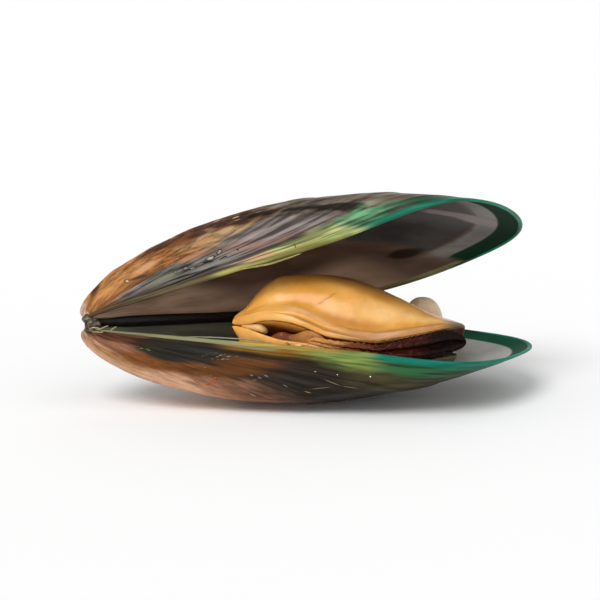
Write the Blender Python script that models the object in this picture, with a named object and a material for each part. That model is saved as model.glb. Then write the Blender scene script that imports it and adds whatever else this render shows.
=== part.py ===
"""Green-lipped mussel, opened on its hinge, with the cooked meat in its lower valve.

Both valves come from one growth law: every growth line is the shell's outline, scaled down by its age and
turned about the beak, as a logarithmic spiral grows. The meat's organs are lofts along the shell.

The shell is drawn in its own frame: the beak at the origin, +X towards the rear tip, +Y towards the hinge
side, and the lip of the lower valve in the plane z = 0. An empty then lays it down on its belly.
Lengths in the tables are fractions of the shell's length.
"""

import math

import bmesh
import bpy
import numpy as np
from mathutils import Matrix, Vector
from mathutils.bvhtree import BVHTree

# Driving dimensions, in metres.
SHELL_LENGTH = 0.100
LIP_WIDTH = 0.0010
GAP = 0.0003
BED_GAP = 0.0004
STEEPEST_BED = 0.35
LEDGE_STEP = 0.00030

# Where the beak lies, and how the shell leans: down at its rear, and down at its hinge side.
BEAK_PLACE = (-0.04883, 0.00012, 0.01767)
REAR_DOWN = math.radians(4.5)
HINGE_SIDE_DOWN = math.radians(3.0)

# The outline of one valve's lip, from the beak along the open side to the rear tip and back along the hinge.
OUTLINE = (
    (-0.012, 0.000),
    (0.020, -0.020),
    (0.120, -0.040),
    (0.350, -0.106),
    (0.620, -0.182),
    (0.860, -0.250),
    (1.000, -0.002),
    (0.900, 0.138),
    (0.700, 0.230),
    (0.450, 0.226),
    (0.200, 0.127),
    (0.040, 0.034),
)
OUTLINE_MIDDLE = (0.60, 0.0)

# The growth law.
SPIRAL_TIGHTNESS = 1.54
DEPTH_SCALE = 0.746
SWELL_LINEAR = -0.116
SWELL_SQUARE = -0.266
BEAK_RISE = 0.0035
BEAK_REACH = 0.05
INSIDE_DEPTH = 0.94
INSIDE_WIDENING = 0.25
MOST_LIP_SLANT = 4.0

# The least wall, and how far below the lip it is reached, in metres.
LEAST_WALL = 0.00065
LIP_TAPER = 0.0015

# Ages of the growth lines that are drawn, from the beak at 0 to the lip at 1, and of the growth ledges.
OUTER_AGES = (0.03, 0.06, 0.10, 0.16, 0.23, 0.31, 0.40, 0.50, 0.60, 0.68, 0.76, 0.87, 0.94, 1.0)
INNER_AGES = (1.0, 0.93, 0.84, 0.74, 0.63, 0.52, 0.42, 0.32, 0.24, 0.17)
LEDGE_AGES = (0.63, 0.81)
LEDGE_DROP = 0.012
LIP_POINTS = 52

# How the upper valve stands open.
HINGE_POINT = (0.0, 0.0285, 0.0036)
HINGE_HEADING = math.radians(27.0)
OPENING_ANGLE = math.radians(30.1)
HINGE_LIFT = 0.0168

# The hinge band: how far along the shell it reaches, and its width.
LIGAMENT_REACH = 0.43
LIGAMENT_STATIONS = 20
LIGAMENT_WIDTH = 0.024

# Upper lobe of the mantle, at stations along the shell.
UPPER_STATIONS = (0.330, 0.365, 0.420, 0.500, 0.600, 0.700, 0.780, 0.845)
UPPER_EDGE_Y = (-0.042, -0.060, -0.092, -0.113, -0.128, -0.127, -0.112, -0.072)
UPPER_EDGE_Z = (0.027, 0.037, 0.056, 0.043, 0.014, 0.018, 0.034, 0.036)
UPPER_FOLD = (0.014, 0.021, 0.027, 0.028, 0.027, 0.026, 0.020, 0.010)
UPPER_CREST_Y = (-0.030, -0.008, 0.018, 0.028, 0.024, 0.008, -0.020, -0.048)
UPPER_CREST_Z = (0.050, 0.082, 0.130, 0.139, 0.131, 0.091, 0.061, 0.049)
UPPER_FAR_Y = (-0.018, 0.050, 0.115, 0.155, 0.150, 0.106, 0.074, 0.000)
UPPER_FAR_Z = (0.036, 0.018, 0.002, 0.000, 0.000, 0.006, 0.018, 0.036)
UPPER_TIPS = ((0.325, -0.036, 0.036), (0.852, -0.040, 0.041))
ROOF_BASE = -0.010
ROOF_REACH = 0.060

# Lower lobe of the mantle.
LOWER_STATIONS = (0.335, 0.370, 0.430, 0.530, 0.600, 0.700, 0.800, 0.855)
LOWER_LIP_Y = (-0.056, -0.076, -0.105, -0.131, -0.135, -0.112, -0.078, -0.050)
LOWER_LIP_WIDTH = 0.022
LOWER_LIP_Z = (0.029, 0.023, 0.011, 0.005, -0.010, -0.020, -0.024, -0.022)
LOWER_FAR_Y = (0.000, 0.060, 0.125, 0.165, 0.154, 0.088, 0.072, 0.020)
LOWER_TROUGH = (0.000, -0.018, -0.026, -0.024, -0.024, -0.026, -0.028, -0.024)
LOWER_TOP = -0.016
LOWER_TIPS = ((0.328, -0.046, 0.018), (0.842, -0.040, -0.022))

# Frilled mantle edge.
FRILL_STATIONS = (0.500, 0.560, 0.600, 0.700, 0.780, 0.845)
FRILL_OUT_Y = (-0.128, -0.142, -0.150, -0.163, -0.156, -0.108)
FRILL_ROOT_Y = (-0.112, -0.108, -0.098, -0.097, -0.080, -0.040)
FRILL_FLOOR = (0.012, 0.002, -0.004, -0.008, -0.008, -0.002)
FRILL_TIPS = ((0.490, -0.120, 0.016), (0.847, -0.080, 0.012))

# Gills, in the opening between the lobes.
GILL_STATIONS = (0.420, 0.450, 0.500, 0.540)
GILL_NEAR_Y = (-0.078, -0.084, -0.092, -0.096)
GILL_TOP = (0.018, 0.023, 0.025, 0.016)
GILL_TIPS = ((0.415, -0.060, 0.000), (0.550, -0.070, 0.000))
GILL_DEPTH = 0.045

# Foot, a tongue in the near corner of the opening.
FOOT_STATIONS = (0.360, 0.378, 0.397, 0.416)
FOOT_MIDDLE_Y = (-0.051, -0.056, -0.061, -0.055)
FOOT_MIDDLE_Z = (0.028, 0.028, 0.027, 0.019)
FOOT_HALF_Y = (0.008, 0.011, 0.013, 0.013)
FOOT_HALF_Z = (0.005, 0.008, 0.010, 0.009)
FOOT_TIPS = ((0.362, -0.048, 0.027), (0.416, -0.052, 0.016))

# Adductor muscle: a round-topped pad behind the meat, leaning on it, on a wider foot.
MUSCLE_MIDDLE = (0.756, 0.134)
MUSCLE_HALF = (0.036, 0.029)
MUSCLE_TOP = 0.076
MUSCLE_LEAN = 0.16
MUSCLE_FLARE = 0.30
MUSCLE_RINGS = 12

# Numbers of sections along, and of points round, each organ.
UPPER_COUNTS = (24, 22)
LOWER_COUNTS = (22, 18)
FRILL_COUNTS = (24, 14)
GILL_COUNTS = (10, 12)
FOOT_COUNTS = (9, 10)
MUSCLE_POINTS = 14

# How blunt the ends are: of the upper lobe, and of the other organs.
UPPER_BLUNTNESS = 12
ORGAN_BLUNTNESS = 5


def clear_scene():
    for old in list(bpy.data.objects):
        bpy.data.objects.remove(old, do_unlink=True)


def spline(knots, values, wanted, closed=False):
    """The cubic through the values at the knots, smooth to its second derivative, read at the wanted places."""
    knots = np.asarray(knots, float)
    values = np.asarray(values, float)
    flat = values.reshape(len(knots), -1)
    wanted = np.atleast_1d(wanted)
    steps = np.diff(knots)
    slopes = np.diff(flat, axis=0) / steps[:, None]
    system = np.zeros((len(knots), len(knots)))
    right = np.zeros_like(flat)
    for i in range(1, len(knots) - 1):
        system[i, i - 1 : i + 2] = steps[i - 1], 2 * (steps[i - 1] + steps[i]), steps[i]
        right[i] = 6 * (slopes[i] - slopes[i - 1])
    if closed:
        system[0, 0], system[0, -1] = 1, -1
        system[-1, 0] = 2 * (steps[-1] + steps[0])
        system[-1, 1] = steps[0]
        system[-1, -2] = steps[-1]
        right[-1] = 6 * (slopes[0] - slopes[-1])
    else:
        system[0, 0] = system[-1, -1] = 1
    bends = np.linalg.solve(system, right)
    cell = np.clip(np.searchsorted(knots, wanted, side="right") - 1, 0, len(steps) - 1)
    width = steps[cell][:, None]
    after = (wanted[:, None] - knots[cell][:, None]) / width
    before = 1 - after
    straight = before * flat[cell] + after * flat[cell + 1]
    curved = (before**3 - before) * bends[cell] + (after**3 - after) * bends[cell + 1]
    return (straight + curved * width**2 / 6).reshape((len(wanted),) + values.shape[1:])


def along(stations, values, x):
    """A table's value at this place along the shell."""
    return float(spline(stations, values, min(max(x, stations[0]), stations[-1]))[0])


def closed_curve(corners, count):
    """This many points of the smooth closed curve through the corners, closer where the corners are."""
    corners = np.array(list(corners) + [corners[0]])
    strides = np.sqrt(np.linalg.norm(np.diff(corners, axis=0), axis=1))
    knots = np.concatenate([[0], np.cumsum(strides)])
    return spline(knots, corners, np.linspace(0, knots[-1], count, endpoint=False), closed=True)


def mix(start, end, share):
    return start + (end - start) * share


# The valves


def inset(outline, width):
    """The outline moved in by this width, each point towards the shell's middle."""
    inward = np.array(OUTLINE_MIDDLE) * SHELL_LENGTH - outline
    inward /= np.linalg.norm(inward, axis=1)[:, None]
    run = np.roll(outline, -1, axis=0) - np.roll(outline, 1, axis=0)
    run /= np.linalg.norm(run, axis=1)[:, None]
    facing = inward[:, 1] * run[:, 0] - inward[:, 0] * run[:, 1]
    return outline + inward * (width / np.maximum(facing, 1 / MOST_LIP_SLANT))[:, None]


def growth_line(outline, age, depth=1.0):
    """The outline as it stood at this age, turned down about the beak."""
    turn = -math.log(age) / SPIRAL_TIGHTNESS
    youth = 1 - age
    swell = DEPTH_SCALE * depth * (1 + SWELL_LINEAR * youth + SWELL_SQUARE * youth**2)
    across, along_hinge = outline[:, 0] * age, outline[:, 1] * age
    x = across * math.cos(turn)
    z = -across * math.sin(turn) * swell
    z = z + BEAK_RISE * SHELL_LENGTH * np.exp(-((x / (BEAK_REACH * SHELL_LENGTH)) ** 2))
    return np.stack([x, along_hinge, z], axis=1)


def ledge_height(age):
    """How far a growth line stands out: it rises to each growth ledge and drops just after it."""
    start = 0.0
    for ledge in LEDGE_AGES:
        if start < age <= ledge:
            return LEDGE_STEP * ((age - start) / (ledge - start)) ** 3
        start = ledge
    return 0.0


def walled(ring, outside, outward):
    """A ring of the inside, pushed in where the wall behind it would be too thin."""
    pushed = []
    for point in ring:
        least = LEAST_WALL * min(max(-point[2] / LIP_TAPER, 0), 1)
        nearest = np.argmin(np.linalg.norm(outside - point, axis=1))
        wall = (outside[nearest] - point) @ outward[nearest]
        pushed.append(point - outward[nearest] * max(least - wall, 0))
    return np.array(pushed)


def valve_rings():
    """Closed rings over the outside of the lower valve from its beak to its lip, and back down its inside."""
    outline = closed_curve(OUTLINE, LIP_POINTS) * SHELL_LENGTH
    after_ledges = tuple(age + LEDGE_DROP for age in LEDGE_AGES)
    ages = sorted(OUTER_AGES + LEDGE_AGES + after_ledges)
    outside = np.array([growth_line(outline, age) for age in ages])
    growing = np.gradient(outside, axis=0)
    round_lip = np.roll(outside, -1, axis=1) - np.roll(outside, 1, axis=1)
    outward = np.cross(round_lip, growing)
    outward /= np.linalg.norm(outward, axis=2)[:, :, None]
    inside = []
    for age in INNER_AGES:
        widened = LIP_WIDTH * (1 + INSIDE_WIDENING * (1 / age - 1))
        ring = growth_line(inset(outline, widened), age, INSIDE_DEPTH)
        inside.append(walled(ring, outside.reshape(-1, 3), outward.reshape(-1, 3)))
    outside += outward * np.array([ledge_height(age) for age in ages])[:, None, None]
    return list(outside) + inside


def loft(name, rings, material, mirrored=False):
    """One closed solid through the rings, with a flat face on the first and the last."""
    sign = -1 if mirrored else 1
    mesh = bpy.data.meshes.new(name)
    body = bmesh.new()
    rows = [[body.verts.new((p[0], p[1], p[2] * sign)) for p in ring] for ring in rings]
    for row, following in zip(rows, rows[1:]):
        for i in range(len(row)):
            j = (i + 1) % len(row)
            body.faces.new((row[i], row[j], following[j], following[i]))
    body.faces.new(rows[0])
    body.faces.new(rows[-1])
    bmesh.ops.recalc_face_normals(body, faces=body.faces)
    body.to_mesh(mesh)
    body.free()
    mesh.shade_smooth()
    mesh.set_sharp_from_angle(angle=math.radians(50))
    mesh.materials.append(material)
    solid = bpy.data.objects.new(name, mesh)
    bpy.context.scene.collection.objects.link(solid)
    return solid


def principled(name, colour, roughness):
    material = bpy.data.materials.new(name)
    material.use_nodes = True
    shader = material.node_tree.nodes["Principled BSDF"]
    shader.inputs["Base Color"].default_value = (*colour, 1)
    shader.inputs["Roughness"].default_value = roughness
    shader.inputs["Metallic"].default_value = 0
    return material


def swung_open():
    """The turn that opens the upper valve about the hinge, and the lift that the ligament gives it."""
    pivot = Vector(HINGE_POINT) * SHELL_LENGTH
    axis = Vector((math.cos(HINGE_HEADING), math.sin(HINGE_HEADING), 0))
    lift = Matrix.Translation((0, 0, HINGE_LIFT * SHELL_LENGTH))
    turn = Matrix.Rotation(-OPENING_ANGLE, 4, axis)
    return lift @ Matrix.Translation(pivot) @ turn @ Matrix.Translation(-pivot)


# The hinge


def ligament_rings():
    """Wedge sections between the two valves' hinge edges, from the beak to the ligament's rear end."""
    outline = closed_curve(OUTLINE, LIP_POINTS * 8) * SHELL_LENGTH
    hinge_side = outline[len(outline) // 2 :][::-1]
    hinge_side = hinge_side[hinge_side[:, 0] < LIGAMENT_REACH * SHELL_LENGTH]
    picks = np.linspace(0, len(hinge_side) - 1, LIGAMENT_STATIONS).astype(int)
    opened = swung_open()
    width = LIGAMENT_WIDTH * SHELL_LENGTH
    inward = Vector((math.sin(HINGE_HEADING), -math.cos(HINGE_HEADING), 0))
    rings = []
    for share, pick in zip(np.linspace(0, 1, len(picks)), picks):
        edge = Vector((*hinge_side[pick], 0))
        edge.z = BEAK_RISE * SHELL_LENGTH * math.exp(-((edge.x / (BEAK_REACH * SHELL_LENGTH)) ** 2))
        spread = width * math.sin(math.pi * (0.1 + 0.9 * share)) ** 0.5 if share < 1 else width * 0.3
        lower, upper = [], []
        for reach in (-0.1, 0.3, 0.7, 1.0):
            place = edge + inward * spread * reach
            lower.append(place + Vector((0, 0, GAP)))
            upper.append(opened @ Vector((place.x, place.y, -place.z - GAP)))
        middle = (lower[-1] + upper[-1]) / 2 + inward * spread * 0.15
        rings.append([tuple(p) for p in lower + [middle] + upper[::-1]])
    return rings


# The meat


def valve_floor(valve):
    """A function of x and y, as fractions of the length: the lowest place that clears the valve's inside."""
    tree = BVHTree.FromPolygons(
        [v.co[:] for v in valve.data.vertices], [p.vertices[:] for p in valve.data.polygons]
    )

    def floor(x, y):
        above = Vector((x * SHELL_LENGTH, y * SHELL_LENGTH, SHELL_LENGTH))
        place, normal, _, _ = tree.ray_cast(above, Vector((0, 0, -1)))
        if place is None:
            return 0.0
        return (place.z + BED_GAP / max(normal.z, STEEPEST_BED)) / SHELL_LENGTH

    return floor


def bedded(rings, floor):
    """The rings with each point raised, where it must be, to clear the valve's inside."""
    return [
        [(x, y, max(z, floor(x / SHELL_LENGTH, y / SHELL_LENGTH) * SHELL_LENGTH)) for x, y, z in ring]
        for ring in rings
    ]


def upper_values(x):
    tables = (UPPER_EDGE_Y, UPPER_EDGE_Z, UPPER_FOLD, UPPER_CREST_Y, UPPER_CREST_Z, UPPER_FAR_Y, UPPER_FAR_Z)
    return [along(UPPER_STATIONS, table, x) for table in tables]


def roof(x, y):
    """Underside of the upper lobe: level with its edge on the near side, and lower behind it."""
    edge_y = along(UPPER_STATIONS, UPPER_EDGE_Y, x)
    edge_z = along(UPPER_STATIONS, UPPER_EDGE_Z, x)
    inboard = max(y - edge_y, 0) / ROOF_REACH
    return ROOF_BASE + (edge_z - ROOF_BASE) * math.exp(-(inboard**2))


def upper_section(x):
    """Section of the upper lobe: its folded edge, its plump near side, its crest and its far side."""
    edge_y, edge_z, fold, crest_y, crest_z, far_y, far_z = upper_values(x)
    shoulder = edge_z + fold
    corners = [
        (edge_y + 0.30 * fold, edge_z),
        (edge_y, edge_z + 0.40 * fold),
        (edge_y + 0.25 * fold, edge_z + 0.90 * fold),
        (edge_y + 0.75 * fold, shoulder),
        (mix(edge_y, crest_y, 0.22) + 0.3 * fold, mix(shoulder, crest_z, 0.26)),
        (mix(edge_y, crest_y, 0.50), mix(shoulder, crest_z, 0.68)),
        (mix(edge_y, crest_y, 0.74), mix(shoulder, crest_z, 0.91)),
        (crest_y, crest_z),
        (mix(crest_y, far_y, 0.45), mix(crest_z, far_z, 0.25)),
        (mix(crest_y, far_y, 0.82), mix(crest_z, far_z, 0.62)),
        (far_y, far_z),
    ]
    for share in (0.2, 0.45, 0.7, 0.88):
        y = mix(far_y, edge_y, share)
        corners.append((y, roof(x, y)))
    section = closed_curve(corners, UPPER_COUNTS[1])
    return [(y, max(z, roof(x, y))) for y, z in section]


def lower_section(x, bed):
    """Section of the lower lobe: its lip, the trough behind the lip, its top, and its bed in the valve."""
    lip_y, lip_z, far_y, trough = (
        along(LOWER_STATIONS, table, x) for table in (LOWER_LIP_Y, LOWER_LIP_Z, LOWER_FAR_Y, LOWER_TROUGH)
    )
    corners = [
        (lip_y, lip_z - 0.35 * LOWER_LIP_WIDTH),
        (lip_y + 0.30 * LOWER_LIP_WIDTH, lip_z),
        (lip_y + 0.90 * LOWER_LIP_WIDTH, mix(lip_z, trough, 0.40)),
        (lip_y + 1.50 * LOWER_LIP_WIDTH, trough),
        (mix(lip_y, far_y, 0.38), mix(trough, LOWER_TOP, 0.8)),
        (mix(lip_y, far_y, 0.60), LOWER_TOP),
        (mix(lip_y, far_y, 0.86), LOWER_TOP),
        (far_y, LOWER_TOP - 0.010),
    ]
    for share in (0.08, 0.28, 0.50, 0.72, 0.92, 1.0):
        y = mix(far_y, lip_y, share)
        corners.append((y, bed(x, y)))
    return closed_curve(corners, LOWER_COUNTS[1])


def frill_section(x):
    """Section of the frilled edge: two ruffled layers stepping out from under the upper lobe."""
    edge_y = along(UPPER_STATIONS, UPPER_EDGE_Y, x)
    edge_z = along(UPPER_STATIONS, UPPER_EDGE_Z, x) - GAP / SHELL_LENGTH
    out_y, root_y, floor = (
        along(FRILL_STATIONS, table, x) for table in (FRILL_OUT_Y, FRILL_ROOT_Y, FRILL_FLOOR)
    )
    height = edge_z - floor
    corners = [
        (root_y, mix(edge_z, floor, 0.45)),
        (mix(edge_y, root_y, 0.2), edge_z),
        (mix(edge_y, out_y, 0.15), mix(edge_z, floor, 0.12)),
        (mix(edge_y, out_y, 0.30), mix(edge_z, floor, 0.34)),
        (mix(edge_y, out_y, 0.22), mix(edge_z, floor, 0.50)),
        (mix(edge_y, out_y, 0.85), mix(edge_z, floor, 0.62)),
        (out_y, mix(edge_z, floor, 0.80)),
        (mix(edge_y, out_y, 0.80), floor),
        (mix(edge_y, root_y, 0.3), floor - 0.05 * height),
        (root_y, floor),
    ]
    return closed_curve(corners, FRILL_COUNTS[1])


def gill_section(x):
    """Section of the gills: a rounded fold that leans back into the opening."""
    near, top = (along(GILL_STATIONS, table, x) for table in (GILL_NEAR_Y, GILL_TOP))
    floor = along(LOWER_STATIONS, LOWER_TROUGH, x) + 0.008
    corners = [
        (near, mix(floor, top, 0.55)),
        (near + 0.008, top),
        (near + 0.45 * GILL_DEPTH, mix(floor, top, 0.80)),
        (near + GILL_DEPTH, mix(floor, top, 0.45)),
        (near + 0.70 * GILL_DEPTH, floor),
        (near + 0.30 * GILL_DEPTH, floor),
    ]
    return closed_curve(corners, GILL_COUNTS[1])


def foot_section(x):
    """Section of the foot: an oval."""
    tables = (FOOT_MIDDLE_Y, FOOT_MIDDLE_Z, FOOT_HALF_Y, FOOT_HALF_Z)
    middle_y, middle_z, half_y, half_z = (along(FOOT_STATIONS, table, x) for table in tables)
    turns = np.linspace(0, math.tau, FOOT_COUNTS[1], endpoint=False)
    return [(middle_y + half_y * math.cos(turn), middle_z + half_z * math.sin(turn)) for turn in turns]


def organ_rings(section, tips, count, bluntness=ORGAN_BLUNTNESS):
    """Sections along the shell in metres, which close in on a tip at either end."""
    rings = []
    for step in np.linspace(0.02, 0.98, count):
        reach = -math.cos(math.pi * step)
        x = mix(tips[0][0], tips[1][0], (1 + reach) / 2)
        fullness = (1 - abs(reach) ** bluntness) ** 0.5
        tip = np.array(tips[int(reach > 0)][1:])
        points = tip + (np.array(section(x)) - tip) * fullness
        rings.append([(x * SHELL_LENGTH, y * SHELL_LENGTH, z * SHELL_LENGTH) for y, z in points])
    return rings


def muscle_rings(floor):
    """Ovals from the muscle's rounded top down to its wider foot on the valve's inside."""
    rings = []
    for step in np.linspace(0.04, 1, MUSCLE_RINGS):
        size = math.sin(math.pi / 2 * min(step * 2, 1)) ** 0.6 + MUSCLE_FLARE * step**4
        sunk = 1 - math.cos(math.pi / 2 * step)
        lean = MUSCLE_LEAN * MUSCLE_TOP * (1 - sunk)
        ring = []
        for i in range(MUSCLE_POINTS):
            turn = math.tau * i / MUSCLE_POINTS
            x = MUSCLE_MIDDLE[0] + MUSCLE_HALF[0] * size * math.cos(turn)
            y = MUSCLE_MIDDLE[1] + MUSCLE_HALF[1] * size * math.sin(turn) - lean
            z = mix(MUSCLE_TOP, floor(x, y), sunk)
            ring.append((x * SHELL_LENGTH, y * SHELL_LENGTH, z * SHELL_LENGTH))
        rings.append(ring)
    return rings


def resting_flat():
    """A cutter whose top lies in the resting plane, which planes a small flat on the lower valve's belly."""
    half = 0.3 * SHELL_LENGTH
    mesh = bpy.data.meshes.new("resting_flat_cutter")
    body = bmesh.new()
    bmesh.ops.create_cube(body, size=2 * half)
    body.to_mesh(mesh)
    body.free()
    cutter = bpy.data.objects.new("resting_flat_cutter", mesh)
    bpy.context.scene.collection.objects.link(cutter)
    cutter.location = (0, 0, -half)
    cutter.hide_render = True
    cutter.display_type = "WIRE"
    return cutter


def main():
    clear_scene()
    shell_brown = principled("shell_brown", (0.11, 0.065, 0.035), 0.4)
    horn = principled("horn", (0.02, 0.012, 0.008), 0.6)
    mantle_orange = principled("mantle_orange", (0.80, 0.40, 0.10), 0.4)
    frill_maroon = principled("frill_maroon", (0.05, 0.015, 0.012), 0.6)
    gill_tan = principled("gill_tan", (0.62, 0.35, 0.20), 0.5)
    foot_white = principled("foot_white", (0.75, 0.66, 0.50), 0.4)
    muscle_tan = principled("muscle_tan", (0.60, 0.45, 0.28), 0.4)

    lying = bpy.data.objects.new("lying_shell", None)
    bpy.context.scene.collection.objects.link(lying)
    lying.location = BEAK_PLACE
    lying.rotation_euler = (-HINGE_SIDE_DOWN, REAR_DOWN, 0)
    hinge = bpy.data.objects.new("open_hinge", None)
    bpy.context.scene.collection.objects.link(hinge)
    hinge.parent = lying
    hinge.matrix_local = swung_open()

    rings = valve_rings()
    lower = loft("lower_valve", rings, shell_brown)
    upper = loft("upper_valve", rings, shell_brown, mirrored=True)
    floor = valve_floor(lower)
    upper_lobe = organ_rings(upper_section, UPPER_TIPS, UPPER_COUNTS[0], UPPER_BLUNTNESS)
    lower_lobe = organ_rings(lambda x: lower_section(x, floor), LOWER_TIPS, LOWER_COUNTS[0])
    pieces = [
        lower,
        loft("hinge_ligament", ligament_rings(), horn),
        loft("mantle_upper_lobe", upper_lobe, mantle_orange),
        loft("mantle_lower_lobe", bedded(lower_lobe, floor), mantle_orange),
        loft("mantle_frill", organ_rings(frill_section, FRILL_TIPS, FRILL_COUNTS[0]), frill_maroon),
        loft("gills", organ_rings(gill_section, GILL_TIPS, GILL_COUNTS[0]), gill_tan),
        loft("foot", organ_rings(foot_section, FOOT_TIPS, FOOT_COUNTS[0]), foot_white),
        loft("adductor_muscle", muscle_rings(floor), muscle_tan),
    ]
    for piece in pieces:
        piece.parent = lying
    upper.parent = hinge

    planing = lower.modifiers.new("resting_flat", "BOOLEAN")
    planing.operation = "DIFFERENCE"
    planing.object = resting_flat()


if __name__ == "__main__":
    main()
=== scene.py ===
"""Green-lipped mussel, opened on its hinge with the cooked meat in its lower valve: the looks.

Each valve grows from one law: a growth line is the shell's outline, scaled down by its age and turned about
the beak. The fine meshes here use that law at a small spacing, and carry the age and the place round the lip
as mesh attributes, so that colour and relief follow the growth lines. The meat's organs are lofts along the
shell. Tables hold fractions of the shell's length. Everything is drawn in the shell's own frame: the beak at
the origin, +X towards the rear tip, +Y towards the hinge side, the lower valve's lip in the plane z = 0.
"""

from __future__ import annotations

import logging
import math
from dataclasses import dataclass
from enum import Enum
from functools import lru_cache

import bpy
import numpy as np
from mathutils import Euler, Matrix, Vector
from mathutils.bvhtree import BVHTree


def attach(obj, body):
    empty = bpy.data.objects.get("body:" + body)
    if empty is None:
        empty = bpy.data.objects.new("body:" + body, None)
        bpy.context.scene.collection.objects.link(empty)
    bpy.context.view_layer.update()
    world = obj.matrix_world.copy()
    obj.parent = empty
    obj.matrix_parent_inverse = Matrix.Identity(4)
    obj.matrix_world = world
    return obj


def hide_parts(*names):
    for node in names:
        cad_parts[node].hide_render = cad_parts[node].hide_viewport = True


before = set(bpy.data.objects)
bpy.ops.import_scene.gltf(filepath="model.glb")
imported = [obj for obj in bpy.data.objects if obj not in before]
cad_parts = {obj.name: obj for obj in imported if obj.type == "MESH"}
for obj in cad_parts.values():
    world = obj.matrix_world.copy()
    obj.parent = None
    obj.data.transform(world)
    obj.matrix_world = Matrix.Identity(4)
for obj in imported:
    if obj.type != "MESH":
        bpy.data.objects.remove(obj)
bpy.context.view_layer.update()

log = logging.getLogger("mussel")
Array, Piece = np.ndarray, bpy.types.Object
Tree, Socket = bpy.types.NodeTree, bpy.types.NodeSocket
MM = 0.001
SHELL_LENGTH = 0.100
BODY = "root"
# Samples round the lip for reading one place on it, and how many samples to each side give its heading.
LIP_SAMPLES = 2000
HEADING_REACH = 5

# Nodes take their inputs by number: a map range has its value, from low, from high, to low and to high. A
# mix has its factor, then two numbers as 2 and 3, or two colours as 6 and 7.
MATH, MIX, RANGE, NOISE = "ShaderNodeMath", "ShaderNodeMix", "ShaderNodeMapRange", "ShaderNodeTexNoise"
ATTRIBUTE, VECTOR, BUMP = "ShaderNodeAttribute", "ShaderNodeVectorMath", "ShaderNodeBump"
CELLS, SPLIT, JOIN = "ShaderNodeTexVoronoi", "ShaderNodeSeparateXYZ", "ShaderNodeCombineXYZ"
START, END, COLOUR = 6, 7, 2
RGBA = {"data_type": "RGBA"}
SMOOTH = {"interpolation_type": "SMOOTHSTEP"}


class Side(Enum):
    """Which valve a mesh belongs to."""

    LOWER = "lower_valve"
    UPPER = "upper_valve"


# Curves and noise


def spline(knots: Array, values: Array, wanted: Array, closed: bool = False) -> Array:
    """The cubic through the values, smooth to its second derivative.

    Args:
        knots: Rising places of the values.
        values: One row of numbers for each knot.
        wanted: Places to read the curve at.
        closed: Whether the last row repeats the first and the curve runs round.

    Returns:
        One row for each wanted place.
    """
    knots, values = np.asarray(knots, float), np.asarray(values, float)
    flat = values.reshape(len(knots), -1)
    steps = np.diff(knots)
    slopes = np.diff(flat, axis=0) / steps[:, None]
    system = np.zeros((len(knots), len(knots)))
    right = np.zeros_like(flat)
    for i in range(1, len(knots) - 1):
        system[i, i - 1 : i + 2] = steps[i - 1], 2 * (steps[i - 1] + steps[i]), steps[i]
        right[i] = 6 * (slopes[i] - slopes[i - 1])
    if closed:
        system[0, 0], system[0, -1] = 1, -1
        system[-1, 0] = 2 * (steps[-1] + steps[0])
        system[-1, 1], system[-1, -2] = steps[0], steps[-1]
        right[-1] = 6 * (slopes[0] - slopes[-1])
    else:
        system[0, 0] = system[-1, -1] = 1
    bends = np.linalg.solve(system, right)
    cell = np.clip(np.searchsorted(knots, wanted, side="right") - 1, 0, len(steps) - 1)
    width = steps[cell][:, None]
    after = (wanted[:, None] - knots[cell][:, None]) / width
    before = 1 - after
    curved = (before**3 - before) * bends[cell] + (after**3 - after) * bends[cell + 1]
    result = before * flat[cell] + after * flat[cell + 1] + curved * width**2 / 6
    return result.reshape((len(wanted),) + values.shape[1:])


def along(stations: tuple, table: tuple, x: Array) -> Array:
    """A table's values at places along its stations, held at its ends."""
    return spline(np.array(stations), np.array(table), np.clip(x, stations[0], stations[-1]))


def chord_knots(ring: Array) -> Array:
    """Knots of the curve through a ring's points, spaced by the square roots of its chords."""
    return np.concatenate([[0], np.cumsum(np.sqrt(np.linalg.norm(np.diff(ring, axis=0), axis=1)))])


def closed_curve(corners: Array, spans: tuple[int, ...]) -> tuple[Array, Array]:
    """The smooth closed curve through the corners.

    Args:
        corners: Points that the curve passes through.
        spans: How many points each stretch between two corners gets.

    Returns:
        The points, and each one's place counted in corners.
    """
    ring = np.vstack([corners, corners[:1]])
    knots = chord_knots(ring)
    place = np.concatenate([k + np.arange(count) / count for k, count in enumerate(spans)])
    cell = place.astype(int)
    wanted = knots[cell] + (place - cell) * np.diff(knots)[cell]
    return spline(knots, ring, wanted, closed=True), place


def wander(across: Array, down: Array, seed: int, wrap: int = 64) -> Array:
    """Smooth noise between -1 and 1 over unit cells.

    Args:
        across: Places across, in cells.
        down: Places down, in cells.
        seed: Seed of the random table.
        wrap: After how many cells across the noise repeats.

    Returns:
        One number for each place.
    """
    table = np.random.default_rng(seed).uniform(-1, 1, (wrap, 64))
    left, low = np.floor(across), np.floor(down)
    u, v = across - left, down - low
    u, v = u * u * (3 - 2 * u), v * v * (3 - 2 * v)
    i, j = left.astype(int) % wrap, low.astype(int) % 64
    near, far = (mix(table[i, k], table[(i + 1) % wrap, k], u) for k in (j, (j + 1) % 64))
    return mix(near, far, v)


def ease(value: Array, low: float, high: float) -> Array:
    """A smooth step from 0 at low to 1 at high."""
    t = np.clip((value - low) / (high - low), 0, 1)
    return t * t * (3 - 2 * t)


def hump(value: Array, low: float, high: float, soft: float) -> Array:
    """1 between low and high, falling smoothly to 0 over the soft width outside."""
    return ease(value, low - soft, low + soft) * (1 - ease(value, high - soft, high + soft))


def peak(value: Array, middle: float, half: float) -> Array:
    """1 at the middle, falling off as a bell with this half-width."""
    return np.exp(-(((value - middle) / half) ** 2))


def mix(start: Array | float, end: Array | float, share: Array | float) -> Array | float:
    """The value this share of the way from start to end."""
    return start + (end - start) * share


# Where the shell lies


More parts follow.
